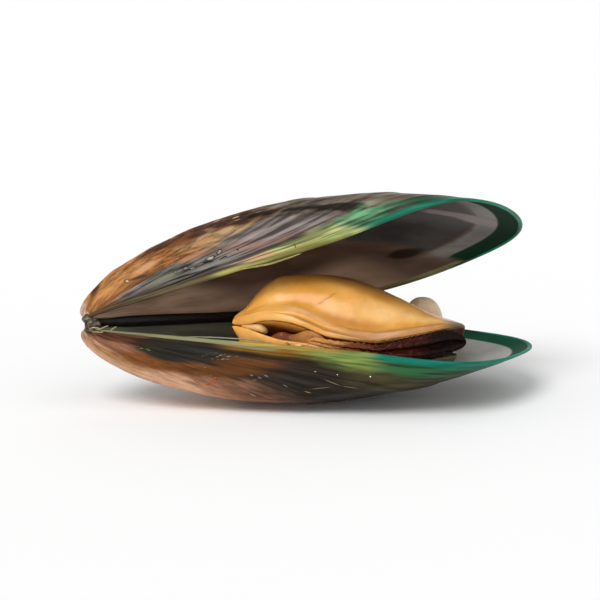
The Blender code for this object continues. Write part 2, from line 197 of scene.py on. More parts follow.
@dataclass(frozen=True)
class Lie:
    """How the shell lies on its belly, and how far its upper valve stands open."""

    beak: tuple[float, float, float] = (-0.04883, 0.00012, 0.01767)
    rear_down: float = math.radians(4.5)
    hinge_side_down: float = math.radians(3.0)
    hinge_point: tuple[float, float, float] = (0.0, 0.0285, 0.0036)
    hinge_heading: float = math.radians(27.0)
    opening: float = math.radians(30.1)
    hinge_lift: float = 0.0168

    def lying(self) -> Matrix:
        """From the shell's own frame to the world."""
        turn = Euler((-self.hinge_side_down, self.rear_down, 0)).to_matrix().to_4x4()
        return Matrix.Translation(self.beak) @ turn

    def opened(self) -> Matrix:
        """The swing of the upper valve about the hinge, in the shell's own frame."""
        pivot = Vector(self.hinge_point) * SHELL_LENGTH
        axis = Vector((math.cos(self.hinge_heading), math.sin(self.hinge_heading), 0))
        lift = Matrix.Translation((0, 0, self.hinge_lift * SHELL_LENGTH))
        turn = Matrix.Rotation(-self.opening, 4, axis)
        return lift @ Matrix.Translation(pivot) @ turn @ Matrix.Translation(-pivot)

    def place(self, points: Array, side: Side = Side.LOWER) -> Array:
        """Points of the shell's own frame, laid down in the world.

        Args:
            points: Points in metres, last axis x, y, z.
            side: UPPER mirrors them and swings them open with the upper valve first.

        Returns:
            The points in the world.
        """
        matrix = self.lying()
        if side is Side.UPPER:
            points = points * np.array([1, 1, -1])
            matrix = matrix @ self.opened()
        matrix = np.array(matrix)
        return points @ matrix[:3, :3].T + matrix[:3, 3]


LIE = Lie()


@dataclass(frozen=True)
class GrowthLaw:
    """How a valve grows: its lip's outline, and the spiral that the outline follows down to the beak."""

    outline: tuple = (
        (-0.012, 0.000), (0.020, -0.020), (0.120, -0.040), (0.350, -0.106), (0.620, -0.182), (0.860, -0.250),
        (1.000, -0.002), (0.900, 0.138), (0.700, 0.230), (0.450, 0.226), (0.200, 0.127), (0.040, 0.034),
    )
    middle: tuple[float, float] = (0.60, 0.0)
    tightness: float = 1.54
    depth: float = 0.746
    swell_linear: float = -0.116
    swell_square: float = -0.266
    beak_rise: float = 0.0035
    beak_reach: float = 0.05
    inside_depth: float = 0.94
    inside_widening: float = 0.25
    most_lip_slant: float = 4.0

    def lip(self, count: int) -> Array:
        """This many points round the lip, in metres, starting at the beak and going along the open side."""
        ring = np.array(self.outline + self.outline[:1])
        knots = chord_knots(ring)
        wanted = np.linspace(0, knots[-1], count, endpoint=False)
        return spline(knots, ring, wanted, closed=True) * SHELL_LENGTH

    def travel(self, count: int) -> Array:
        """Millimetres gone along the lip to each of this many points."""
        steps = np.linalg.norm(np.diff(self.lip(count), axis=0), axis=1)
        return np.concatenate([[0], np.cumsum(steps)]) / MM

    def inset(self, lip: Array, width: float) -> Array:
        """The lip moved in.

        Args:
            lip: Points round the lip.
            width: How far to move them, in metres.

        Returns:
            The points, each moved towards the shell's middle until it is this far from the lip's line.
        """
        inward = unit(np.array(self.middle) * SHELL_LENGTH - lip)
        run = unit(np.roll(lip, -1, axis=0) - np.roll(lip, 1, axis=0))
        facing = inward[:, 1] * run[:, 0] - inward[:, 0] * run[:, 1]
        return lip + inward * (width / np.maximum(facing, 1 / self.most_lip_slant))[:, None]

    def rise(self, x: Array) -> Array:
        """How far the beak's end lifts the surface at this distance along the shell."""
        return self.beak_rise * SHELL_LENGTH * np.exp(-((x / (self.beak_reach * SHELL_LENGTH)) ** 2))

    def line(self, lip: Array, age: float, depth: float = 1.0) -> Array:
        """The lip as it stood at an age, turned down about the beak.

        Args:
            lip: Points round the lip.
            age: The growth line's age, from the beak at 0 to the lip at 1.
            depth: How deep the surface is beside the outside.

        Returns:
            The growth line's points.
        """
        turn = -math.log(age) / self.tightness
        youth = 1 - age
        swell = self.depth * depth * (1 + self.swell_linear * youth + self.swell_square * youth**2)
        reach = lip[:, 0] * age
        x = reach * math.cos(turn)
        z = self.rise(x) - reach * math.sin(turn) * swell
        return np.stack([x, lip[:, 1] * age, z], axis=1)

    def flattened(self, age: float, place: float) -> Array:
        """The outside near one point, laid flat.

        Args:
            age: The growth line's age.
            place: The place round the lip.

        Returns:
            The matrix from a step in travel and in hundredths of age to real millimetres along and across.
        """
        lip, travel = self.lip(LIP_SAMPLES), self.travel(LIP_SAMPLES)
        pick = int(place * LIP_SAMPLES)
        near = [(pick - HEADING_REACH) % LIP_SAMPLES, (pick + HEADING_REACH) % LIP_SAMPLES]
        run = np.diff(self.line(lip, age)[near], axis=0)[0] / np.diff(travel[near])[0] / MM
        growth = (self.line(lip, age + 0.01)[pick] - self.line(lip, age - 0.01)[pick]) / 2 / MM
        heading = unit(run)
        across = growth - (growth @ heading) * heading
        return np.array([[np.linalg.norm(run), growth @ heading], [0.0, np.linalg.norm(across)]])


LAW = GrowthLaw()


# Meshes


def unit(vectors: Array) -> Array:
    """The vectors, each with its length made 1."""
    return vectors / np.maximum(np.linalg.norm(vectors, axis=-1, keepdims=True), 1e-12)


def outward(rows: Array) -> Array:
    """Unit normals over rings of points; their sign follows the order of rings and points."""
    return unit(np.cross(np.roll(rows, -1, axis=1) - np.roll(rows, 1, axis=1), np.gradient(rows, axis=0)))


def turns(count: int) -> Array:
    """This many even steps of one full turn, in radians."""
    return np.linspace(0, math.tau, count, endpoint=False)


def quads(rings: int, count: int) -> list:
    """Four-cornered faces between neighbouring rings of this many points."""
    i, j = np.meshgrid(np.arange(rings - 1), np.arange(count), indexing="ij")
    k = (j + 1) % count
    corners = [i * count + j, i * count + k, (i + 1) * count + k, (i + 1) * count + j]
    return np.stack(corners, axis=-1).reshape(-1, 4).tolist()


def put(name: str, data: bpy.types.ID) -> Piece:
    """A new object in the scene."""
    thing = bpy.data.objects.new(name, data)
    bpy.context.scene.collection.objects.link(thing)
    return thing


def skin(name: str, rows: Array, materials: list, second_from: int = -1) -> Piece:
    """A closed mesh over rings of points, with a fan over the first and the last.

    Args:
        name: The piece's name.
        rows: Rings of points in the world, shaped rings x points x 3.
        materials: Its materials, one or two.
        second_from: The ring from which the second material is used, if there is one.

    Returns:
        The new object.
    """
    rings, count = rows.shape[:2]
    points = np.concatenate([rows.reshape(-1, 3), [rows[0].mean(axis=0), rows[-1].mean(axis=0)]])
    around = np.arange(count)
    ahead = (around + 1) % count
    last = (rings - 1) * count
    first_fan = np.stack([np.full(count, rings * count), ahead, around], axis=1)
    last_fan = np.stack([np.full(count, rings * count + 1), last + around, last + ahead], axis=1)
    faces = quads(rings, count) + first_fan.tolist() + last_fan.tolist()
    mesh = bpy.data.meshes.new(name)
    mesh.from_pydata(points.tolist(), [], faces)
    for material in materials:
        mesh.materials.append(material)
    if second_from >= 0:
        slots = np.zeros(len(faces), np.int32)
        slots[second_from * count : last] = 1
        slots[last + count :] = 1
        mesh.polygons.foreach_set("material_index", slots)
    mesh.shade_smooth()
    mesh.validate()
    mesh.calc_loop_triangles()
    corners = np.empty(len(mesh.loop_triangles) * 3, np.int32)
    mesh.loop_triangles.foreach_get("vertices", corners)
    a, b, c = (points[corners[n::3]] for n in range(3))
    # A negative volume means that the faces look inward.
    if (a * np.cross(b, c)).sum() < 0:
        mesh.flip_normals()
    return put(name, mesh)


def mark(piece: Piece, name: str, values: Array) -> None:
    """Stores one number, or one vector, for each point of a skin; its two tips take their ring's mean.

    Args:
        piece: An object from skin().
        name: The attribute's name.
        values: Rings x points, or rings x points x 3.
    """
    kind, field = ("FLOAT_VECTOR", "vector") if values.ndim == 3 else ("FLOAT", "value")
    tips = [values[0].mean(axis=0), values[-1].mean(axis=0)]
    flat = values.reshape((-1,) + values.shape[2:])
    layer = piece.data.attributes.new(name, kind, "POINT")
    layer.data.foreach_set(field, np.concatenate([flat, tips]).astype(np.float32).ravel())


def report(piece: Piece, slot: str, *nodes: str) -> None:
    """Lets a piece ride on the body, hides the CAD nodes that it stands for, and logs it with its slot.

    Args:
        piece: The finished piece.
        slot: Its material slot.
        nodes: The CAD nodes that it stands for, if any.
    """
    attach(piece, BODY)
    if nodes:
        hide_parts(*nodes)
    log.info("%s: slot %s, %d faces", piece.name, slot, len(piece.data.polygons))


def loft(
    name: str, rows: Array, finish: CookedFlesh | DryHorn, slot: str, *nodes: str,
    side: Side = Side.LOWER, flesh: Array | None = None,
) -> Piece:
    """A piece of one finish over rings of points in the shell's own frame.

    Args:
        name: The piece's name.
        rows: Rings of points in metres, shaped rings x points x 3.
        finish: Its finish.
        slot: Its material slot.
        nodes: The CAD nodes that it stands for, if any.
        side: UPPER swings it open with the upper valve.
        flesh: Millimetres that its material reads at each point; where left out, the points themselves.

    Returns:
        The new object.
    """
    piece = skin(name, LIE.place(rows, side), [finish.material()])
    mark(piece, "flesh", rows / MM if flesh is None else flesh)
    report(piece, slot, *nodes)
    return piece


# Finishes


def linear(colour: str) -> tuple[float, float, float, float]:
    """An sRGB hex colour as linear red, green, blue and alpha."""
    parts = [int(colour[i : i + 2], 16) / 255 for i in (1, 3, 5)]
    return tuple(p / 12.92 if p <= 0.04045 else ((p + 0.055) / 1.055) ** 2.4 for p in parts) + (1.0,)


def fill(tree: Tree, node: bpy.types.Node, inputs: dict) -> None:
    """Links or sets a node's inputs.

    Args:
        tree: The node tree.
        node: One of its nodes.
        inputs: Input names or numbers, with a socket to link or a value to set.
    """
    for key, value in inputs.items():
        if isinstance(value, Socket):
            tree.links.new(value, node.inputs[key])
        else:
            node.inputs[key].default_value = value


def add(tree: Tree, kind: str, inputs: dict, out: int | str = 0, **settings: str) -> Socket:
    """Adds a node.

    Args:
        tree: The node tree.
        kind: The node's type.
        inputs: Input names or numbers, with a socket to link or a value to set.
        out: Which output to return.
        settings: The node's own settings.

    Returns:
        The output socket.
    """
    node = tree.nodes.new(kind)
    for key, value in settings.items():
        setattr(node, key, value)
    fill(tree, node, inputs)
    return node.outputs[out]


def blank(name: str) -> tuple[bpy.types.Material, Tree, bpy.types.Node]:
    """A new material, its node tree and its Principled shader."""
    material = bpy.data.materials.new(name)
    material.use_nodes = True
    return material, material.node_tree, material.node_tree.nodes["Principled BSDF"]


def stretched(tree: Tree, name: str, cell: tuple, detail: float = 2.0, rough: float = 0.55) -> Socket:
    """Noise in cells of a real size.

    Args:
        tree: The node tree.
        name: The stored vector, in millimetres.
        cell: The cells' size in millimetres.
        detail: How many finer octaves it has.
        rough: How strong the finer octaves are.

    Returns:
        The noise socket.
    """
    place = add(tree, ATTRIBUTE, {}, "Vector", attribute_name=name)
    scaled = add(tree, VECTOR, {0: place, 1: tuple(1 / c for c in cell)}, operation="MULTIPLY")
    return add(tree, NOISE, {"Vector": scaled, "Scale": 1.0, "Detail": detail, "Roughness": rough})


def weighted(tree: Tree, base: Socket | float, *parts: tuple[Socket, float]) -> Socket:
    """A base value plus some sockets, each times its weight.

    Args:
        tree: The node tree.
        base: The socket or number to start from.
        parts: Each socket with its weight.

    Returns:
        The sum's socket.
    """
    for socket, weight in parts:
        base = add(tree, MATH, {0: socket, 1: weight, 2: base}, operation="MULTIPLY_ADD")
    return base


@dataclass(frozen=True)
class Patch:
    """A patch of one hue on a valve, between two ages and two places round the lip, in two tones."""

    name: str
    light: str
    dark: str
    ages: tuple[float, float]
    round_lip: tuple[float, float]
    soft: tuple[float, float]
    slant: float = 0.0
    ragged: float = 0.9
    warp: float = 1.0

    def share(self, age: Array, place: Array) -> Array:
        """How much of the patch there is at each point, before its edge is frayed.

        Args:
            age: Each point's age.
            place: Each point's place round the lip.

        Returns:
            Shares from 0 to 1.
        """
        seed = sum(map(ord, self.name))
        aside = self.warp * 0.018 * wander(place * 14, age * 5, seed, 14)
        older = self.warp * 0.035 * wander(place * 18, age * 3, seed + 1, 18) * (1 - ease(age, 0.9, 1))
        round_lip = hump(place - self.slant * (age - 0.5) + aside, *self.round_lip, self.soft[1])
        return hump(age + older, *self.ages, self.soft[0]) * round_lip


@dataclass(frozen=True)
class Mark:
    """A small oval mark on a valve: a worn or crusted middle inside a ring.

    Its half-sizes are in real millimetres, and its turn is in degrees from the growth line towards the lip.
    """

    age: float
    place: float
    half: tuple[float, float]
    turn: float
    middle: str
    ring: str
    ring_share: float = 0.9
    sunk: float = 1.4
    cover: float = 1.0

    def axes(self) -> Array:
        """Its two axes in the stored travel and age, so long that a point on its edge reads 1."""
        turn = math.radians(self.turn)
        turned = np.array([[math.cos(turn), math.sin(turn)], [-math.sin(turn), math.cos(turn)]])
        return turned @ LAW.flattened(self.age, self.place) / np.array(self.half)[:, None]


def blotch(age: float, place: float, half: tuple, turn: float, tint: str, cover: float) -> Mark:
    """A broad stain with no ring, through which the tones of the shell still show."""
    return Mark(age, place, half, turn, tint, tint, 0.5 * cover, 0.0, cover)


@dataclass(frozen=True)
class Specks:
    """Small grains stuck to a valve inside a zone, each in a cell of its own."""

    zone: Patch
    cell_mm: float
    radius: float
    bare: float


def patched(tree: Tree, base: tuple, patches: tuple, fray: Socket, tone: Socket) -> Socket:
    """A base colour with patches over it, each frayed along the growth lines.

    Args:
        tree: The node tree.
        base: The light and the dark tone under all patches.
        patches: From the lowest to the topmost.
        fray: Socket of the noise that frays their edges.
        tone: Socket that picks between every patch's dark tone, 0, and its light one, 1.

    Returns:
        The colour socket.
    """
    light, dark = (linear(tint) for tint in base)
    centred = add(tree, MATH, {0: fray, 1: 0.5}, operation="SUBTRACT")
    for patch in patches:
        share = add(tree, ATTRIBUTE, {}, "Fac", attribute_name=patch.name)
        frayed = weighted(tree, share, (centred, patch.ragged * 1.7))
        edge = add(tree, RANGE, {0: frayed, 1: 0.2, 2: 0.8}, **SMOOTH)
        # A place with none of the patch stays clear, however strong the fray is.
        present = add(tree, RANGE, {0: share, 1: 0.01, 2: 0.25}, **SMOOTH)
        factor = add(tree, MATH, {0: edge, 1: present}, operation="MULTIPLY")
        light = add(tree, MIX, {0: factor, START: light, END: linear(patch.light)}, COLOUR, **RGBA)
        dark = add(tree, MIX, {0: factor, START: dark, END: linear(patch.dark)}, COLOUR, **RGBA)
    return add(tree, MIX, {0: tone, START: dark, END: light}, COLOUR, **RGBA)


@dataclass(frozen=True)
class ShellLime:
    """Outside of a mussel valve: lime under a thin horny skin, satin, streaked along its growth lines."""

    name: str
    base: tuple[str, str]
    patches: tuple[Patch, ...]
    seam: str
    seam_width: float
    contrast: float
    marks: tuple[Mark, ...]
    specks: tuple[Specks, ...]
    balance: float = 0.50
    crumbly: float = 0.5
    roughness: float = 0.40
    gloss: float = 0.15

    def material(self) -> bpy.types.Material:
        """Builds the material."""
        material, tree, shader = blank(self.name)
        # Growth lines run on for centimetres. Where they crowd, one line fades into the next, so the cells
        # are taller there and stay close to half a millimetre and a millimetre and a half.
        wide = add(tree, ATTRIBUTE, {}, "Fac", attribute_name="open_lines")
        crowded, apart = (stretched(tree, "growth", cell) for cell in ((24.0, 3.6, 1.0), (14.0, 0.8, 1.0)))
        fine = add(tree, MIX, {0: wide, 2: crowded, 3: apart})
        crowded, apart = (stretched(tree, "growth", cell) for cell in ((44.0, 7.0, 1.0), (24.0, 2.3, 1.0)))
        broad = add(tree, MIX, {0: wide, 2: crowded, 3: apart})
        cloudy = stretched(tree, "growth", (7.0, 8.0, 1.0), 3.0)
        fray = weighted(tree, 0.0, (broad, 0.55), (cloudy, 0.45))
        tone = weighted(tree, 0.0, (fine, 0.35), (broad, 0.45), (cloudy, 0.20))
        # Towards the beak the skin is rubbed through, so blotches take the place of the growth lines.
        crumbs = stretched(tree, "growth", (5.0, 4.0, 1.0), 5.0, 0.62)
        worn = add(tree, ATTRIBUTE, {}, "Fac", attribute_name="worn")
        tone = add(tree, MIX, {0: worn, 2: tone, 3: crumbs})
        spread = 0.16 / self.contrast
        tone = add(tree, RANGE, {0: tone, 1: self.balance - spread, 2: self.balance + spread}, **SMOOTH)
        colour = patched(tree, self.base, self.patches, fray, tone)
        # Thin dark seams between the growth lines, where the masks of the mesh ask for them.
        lines = weighted(tree, 0.0, (fine, 0.7), (broad, 0.3))
        dark = add(tree, RANGE, {0: lines, 1: 0.56 - self.seam_width, 2: 0.50 - self.seam_width}, **SMOOTH)
        seams = add(tree, ATTRIBUTE, {}, "Fac", attribute_name="seams")
        dark = add(tree, MATH, {0: dark, 1: seams}, operation="MULTIPLY")
        colour = add(tree, MIX, {0: dark, START: colour, END: linear(self.seam)}, COLOUR, **RGBA)
        colour, height = self.marked(tree, self.grained(tree, colour), weighted(tree, broad, (fine, 0.6)))
        relief = {"Strength": 0.6, "Distance": 0.12 * MM, "Height": height}
        surface = {
            "Base Color": colour,
            "Roughness": weighted(tree, self.roughness - 0.2, (cloudy, 0.40)),
            "Normal": add(tree, BUMP, relief),
            "IOR": 1.50,
            "Specular IOR Level": self.gloss,
        }
        fill(tree, shader, surface)
        return material

    def grained(self, tree: Tree, colour: Socket) -> Socket:
        """Grains of sand and dried weed that stick to the horny skin.

        Args:
            tree: The node tree.
            colour: Socket of the colour without them.

        Returns:
            The colour with them.
        """
        for specks in self.specks:
            zone = specks.zone
            place = add(tree, ATTRIBUTE, {}, "Vector", attribute_name="growth")
            scale = LAW.flattened(sum(zone.ages) / 2, sum(zone.round_lip) / 2).diagonal() / specks.cell_mm
            scaled = add(tree, VECTOR, {0: place, 1: (*scale, 1.0)}, operation="MULTIPLY")
            away = add(tree, CELLS, {"Vector": scaled, "Scale": 1.0})
            random = add(tree, SPLIT, {0: away.node.outputs["Color"]})
            factor = add(tree, RANGE, {0: away, 1: specks.radius, 2: specks.radius * 0.6}, **SMOOTH)
            kept = add(tree, MATH, {0: random, 1: specks.bare}, operation="GREATER_THAN")
            here = add(tree, ATTRIBUTE, {}, "Fac", attribute_name=zone.name)
            for share in (kept, here):
                factor = add(tree, MATH, {0: factor, 1: share}, operation="MULTIPLY")
            tint = {0: random.node.outputs[1], START: linear(zone.dark), END: linear(zone.light)}
            tint = add(tree, MIX, tint, COLOUR, **RGBA)
            colour = add(tree, MIX, {0: factor, START: colour, END: tint}, COLOUR, **RGBA)
        return colour

    def marked(self, tree: Tree, colour: Socket, height: Socket) -> tuple[Socket, Socket]:
        """Old barnacle scars, scratches and cracks, each an oval with a ring.

        Args:
            tree: The node tree.
            colour: Socket of the colour without them.
            height: Socket of the relief without them.

        Returns:
            The colour and the relief with them.
        """
        place = add(tree, ATTRIBUTE, {}, "Vector", attribute_name="growth")
        rough = add(tree, NOISE, {"Vector": place, "Scale": 1.1, "Detail": 3.0}, "Color")
        rough = add(tree, VECTOR, {0: rough, 1: (0.5, 0.5, 0.5)}, operation="SUBTRACT")
        bent = add(tree, VECTOR, {0: rough, 1: (1.0, 3.0, 0.0), 2: place}, operation="MULTIPLY_ADD")
        travel = LAW.travel(LIP_SAMPLES)
        for mark in self.marks:
            # Scratches are too thin to follow the rough noise and stay straight.
            start = bent if min(mark.half) > 0.2 else place
            middle = (travel[int(mark.place * LIP_SAMPLES)], mark.age * 100, 0.0)
            away = add(tree, VECTOR, {0: start, 1: middle}, operation="SUBTRACT")
            axes = {
                number: add(tree, VECTOR, {0: away, 1: (*axis, 0.0)}, "Value", operation="DOT_PRODUCT")
                for number, axis in enumerate(mark.axes())
            }
            away = add(tree, VECTOR, {0: add(tree, JOIN, axes)}, "Value", operation="LENGTH")
            shapes = ((1.5, 1.0, mark.ring_share, mark.ring), (1.0, 0.6, mark.cover, mark.middle))
            for (outer, inner, cover, tint), sunk in zip(shapes, (mark.sunk / 2, -mark.sunk)):
                share = add(tree, RANGE, {0: away, 1: outer, 2: inner, 4: cover}, **SMOOTH)
                colour = add(tree, MIX, {0: share, START: colour, END: linear(tint)}, COLOUR, **RGBA)
                height = weighted(tree, height, (share, sunk))
        return colour, height


@dataclass(frozen=True)
class Nacre:
    """Inside of a mussel valve: mother-of-pearl, smooth with a soft pearly gloss."""

    name: str
    base: tuple[str, str]
    patches: tuple[Patch, ...]
    roughness: float = 0.34

    def material(self) -> bpy.types.Material:
        """Builds the material."""
        material, tree, shader = blank(self.name)
        cloudy = stretched(tree, "growth", (12.0, 14.0, 1.0), 3.0)
        fine = stretched(tree, "growth", (16.0, 3.0, 1.0))
        # Pearl is never one even grey: broad clouds of a lighter and a darker tone.
        tone = add(tree, RANGE, {0: cloudy, 1: 0.3, 2: 0.7}, **SMOOTH)
        # The horny skin that folds over the lip is duller than the pearl.
        rim = add(tree, ATTRIBUTE, {}, "Fac", attribute_name="deep_green_rim")
        relief = {"Strength": 0.25, "Distance": 0.05 * MM, "Height": fine}
        surface = {
            "Base Color": patched(tree, self.base, self.patches, cloudy, tone),
            "Roughness": weighted(tree, self.roughness - 0.1, (cloudy, 0.2), (rim, 0.45)),
            "Normal": add(tree, BUMP, relief),
            "IOR": 1.55,
            "Specular IOR Level": 0.16,
        }
        fill(tree, shader, surface)
        return material


@dataclass(frozen=True)
class CookedFlesh:
    """Cooked mussel meat: moist and firm, slightly see-through, tinted by place."""

    name: str
    base: str
    glow: str
    tints: tuple[tuple[str, str], ...] = ()
    grain_mm: tuple[float, float, float] = (2.5, 2.5, 2.5)
    grain_depth_mm: float = 0.10
    roughness: float = 0.34
    gloss: float = 0.5
    scatter_mm: float = 1.2
    scatter: float = 0.35
    wet: float = 0.35

    def material(self) -> bpy.types.Material:
        """Builds the material."""
        material, tree, shader = blank(self.name)
        mottle = stretched(tree, "flesh", (9.0, 6.0, 6.0), 1.0)
        grain = stretched(tree, "flesh", self.grain_mm, 4.0)
        factor = add(tree, RANGE, {0: mottle, 1: 0.35, 2: 0.7}, **SMOOTH)
        inputs = {0: factor, START: linear(self.base), END: linear(self.glow)}
        colour = add(tree, MIX, inputs, COLOUR, **RGBA)
        for name, tint in self.tints:
            share = add(tree, ATTRIBUTE, {}, "Fac", attribute_name=name)
            factor = add(tree, RANGE, {0: weighted(tree, share, (grain, 0.3)), 1: 0.15, 2: 1.1}, **SMOOTH)
            factor = add(tree, MATH, {0: factor, 1: share}, operation="MINIMUM")
            colour = add(tree, MIX, {0: factor, START: colour, END: linear(tint)}, COLOUR, **RGBA)
        shade = add(tree, RANGE, {0: grain, 1: 0.3, 2: 0.7, 3: 0.90, 4: 1.08})
        relief = {"Strength": 0.5, "Distance": self.grain_depth_mm * MM, "Height": grain}
        surface = {
            "Base Color": add(tree, VECTOR, {0: colour, 3: shade}, operation="SCALE"),
            "Roughness": weighted(tree, self.roughness - 0.12, (grain, 0.25)),
            "Normal": add(tree, BUMP, relief),
            "IOR": 1.38,
            "Specular IOR Level": self.gloss,
            "Subsurface Weight": self.scatter,
            "Subsurface Radius": (1.0, 0.45, 0.18),
            "Subsurface Scale": self.scatter_mm * MM,
            "Coat Weight": self.wet,
            "Coat Roughness": 0.22,
        }
        fill(tree, shader, surface)
        return material


@dataclass(frozen=True)
class DryHorn:
    """Dry horny matter, such as the ligament, byssus or peeled skin: dull, with fibres along it."""

    name: str
    dark: str
    light: str
    cell_mm: tuple[float, float, float]

    def material(self) -> bpy.types.Material:
        """Builds the material."""
        material, tree, shader = blank(self.name)
        fibres = stretched(tree, "flesh", self.cell_mm, 4.0)
        factor = add(tree, RANGE, {0: fibres, 1: 0.45, 2: 0.75}, **SMOOTH)
        inputs = {0: factor, START: linear(self.dark), END: linear(self.light)}
        relief = {"Strength": 0.7, "Distance": 0.2 * MM, "Height": fibres}
        surface = {
            "Base Color": add(tree, MIX, inputs, COLOUR, **RGBA),
            "Roughness": weighted(tree, 0.35, (fibres, 0.4)),
            "Normal": add(tree, BUMP, relief),
        }
        fill(tree, shader, surface)
        return material


# The valves


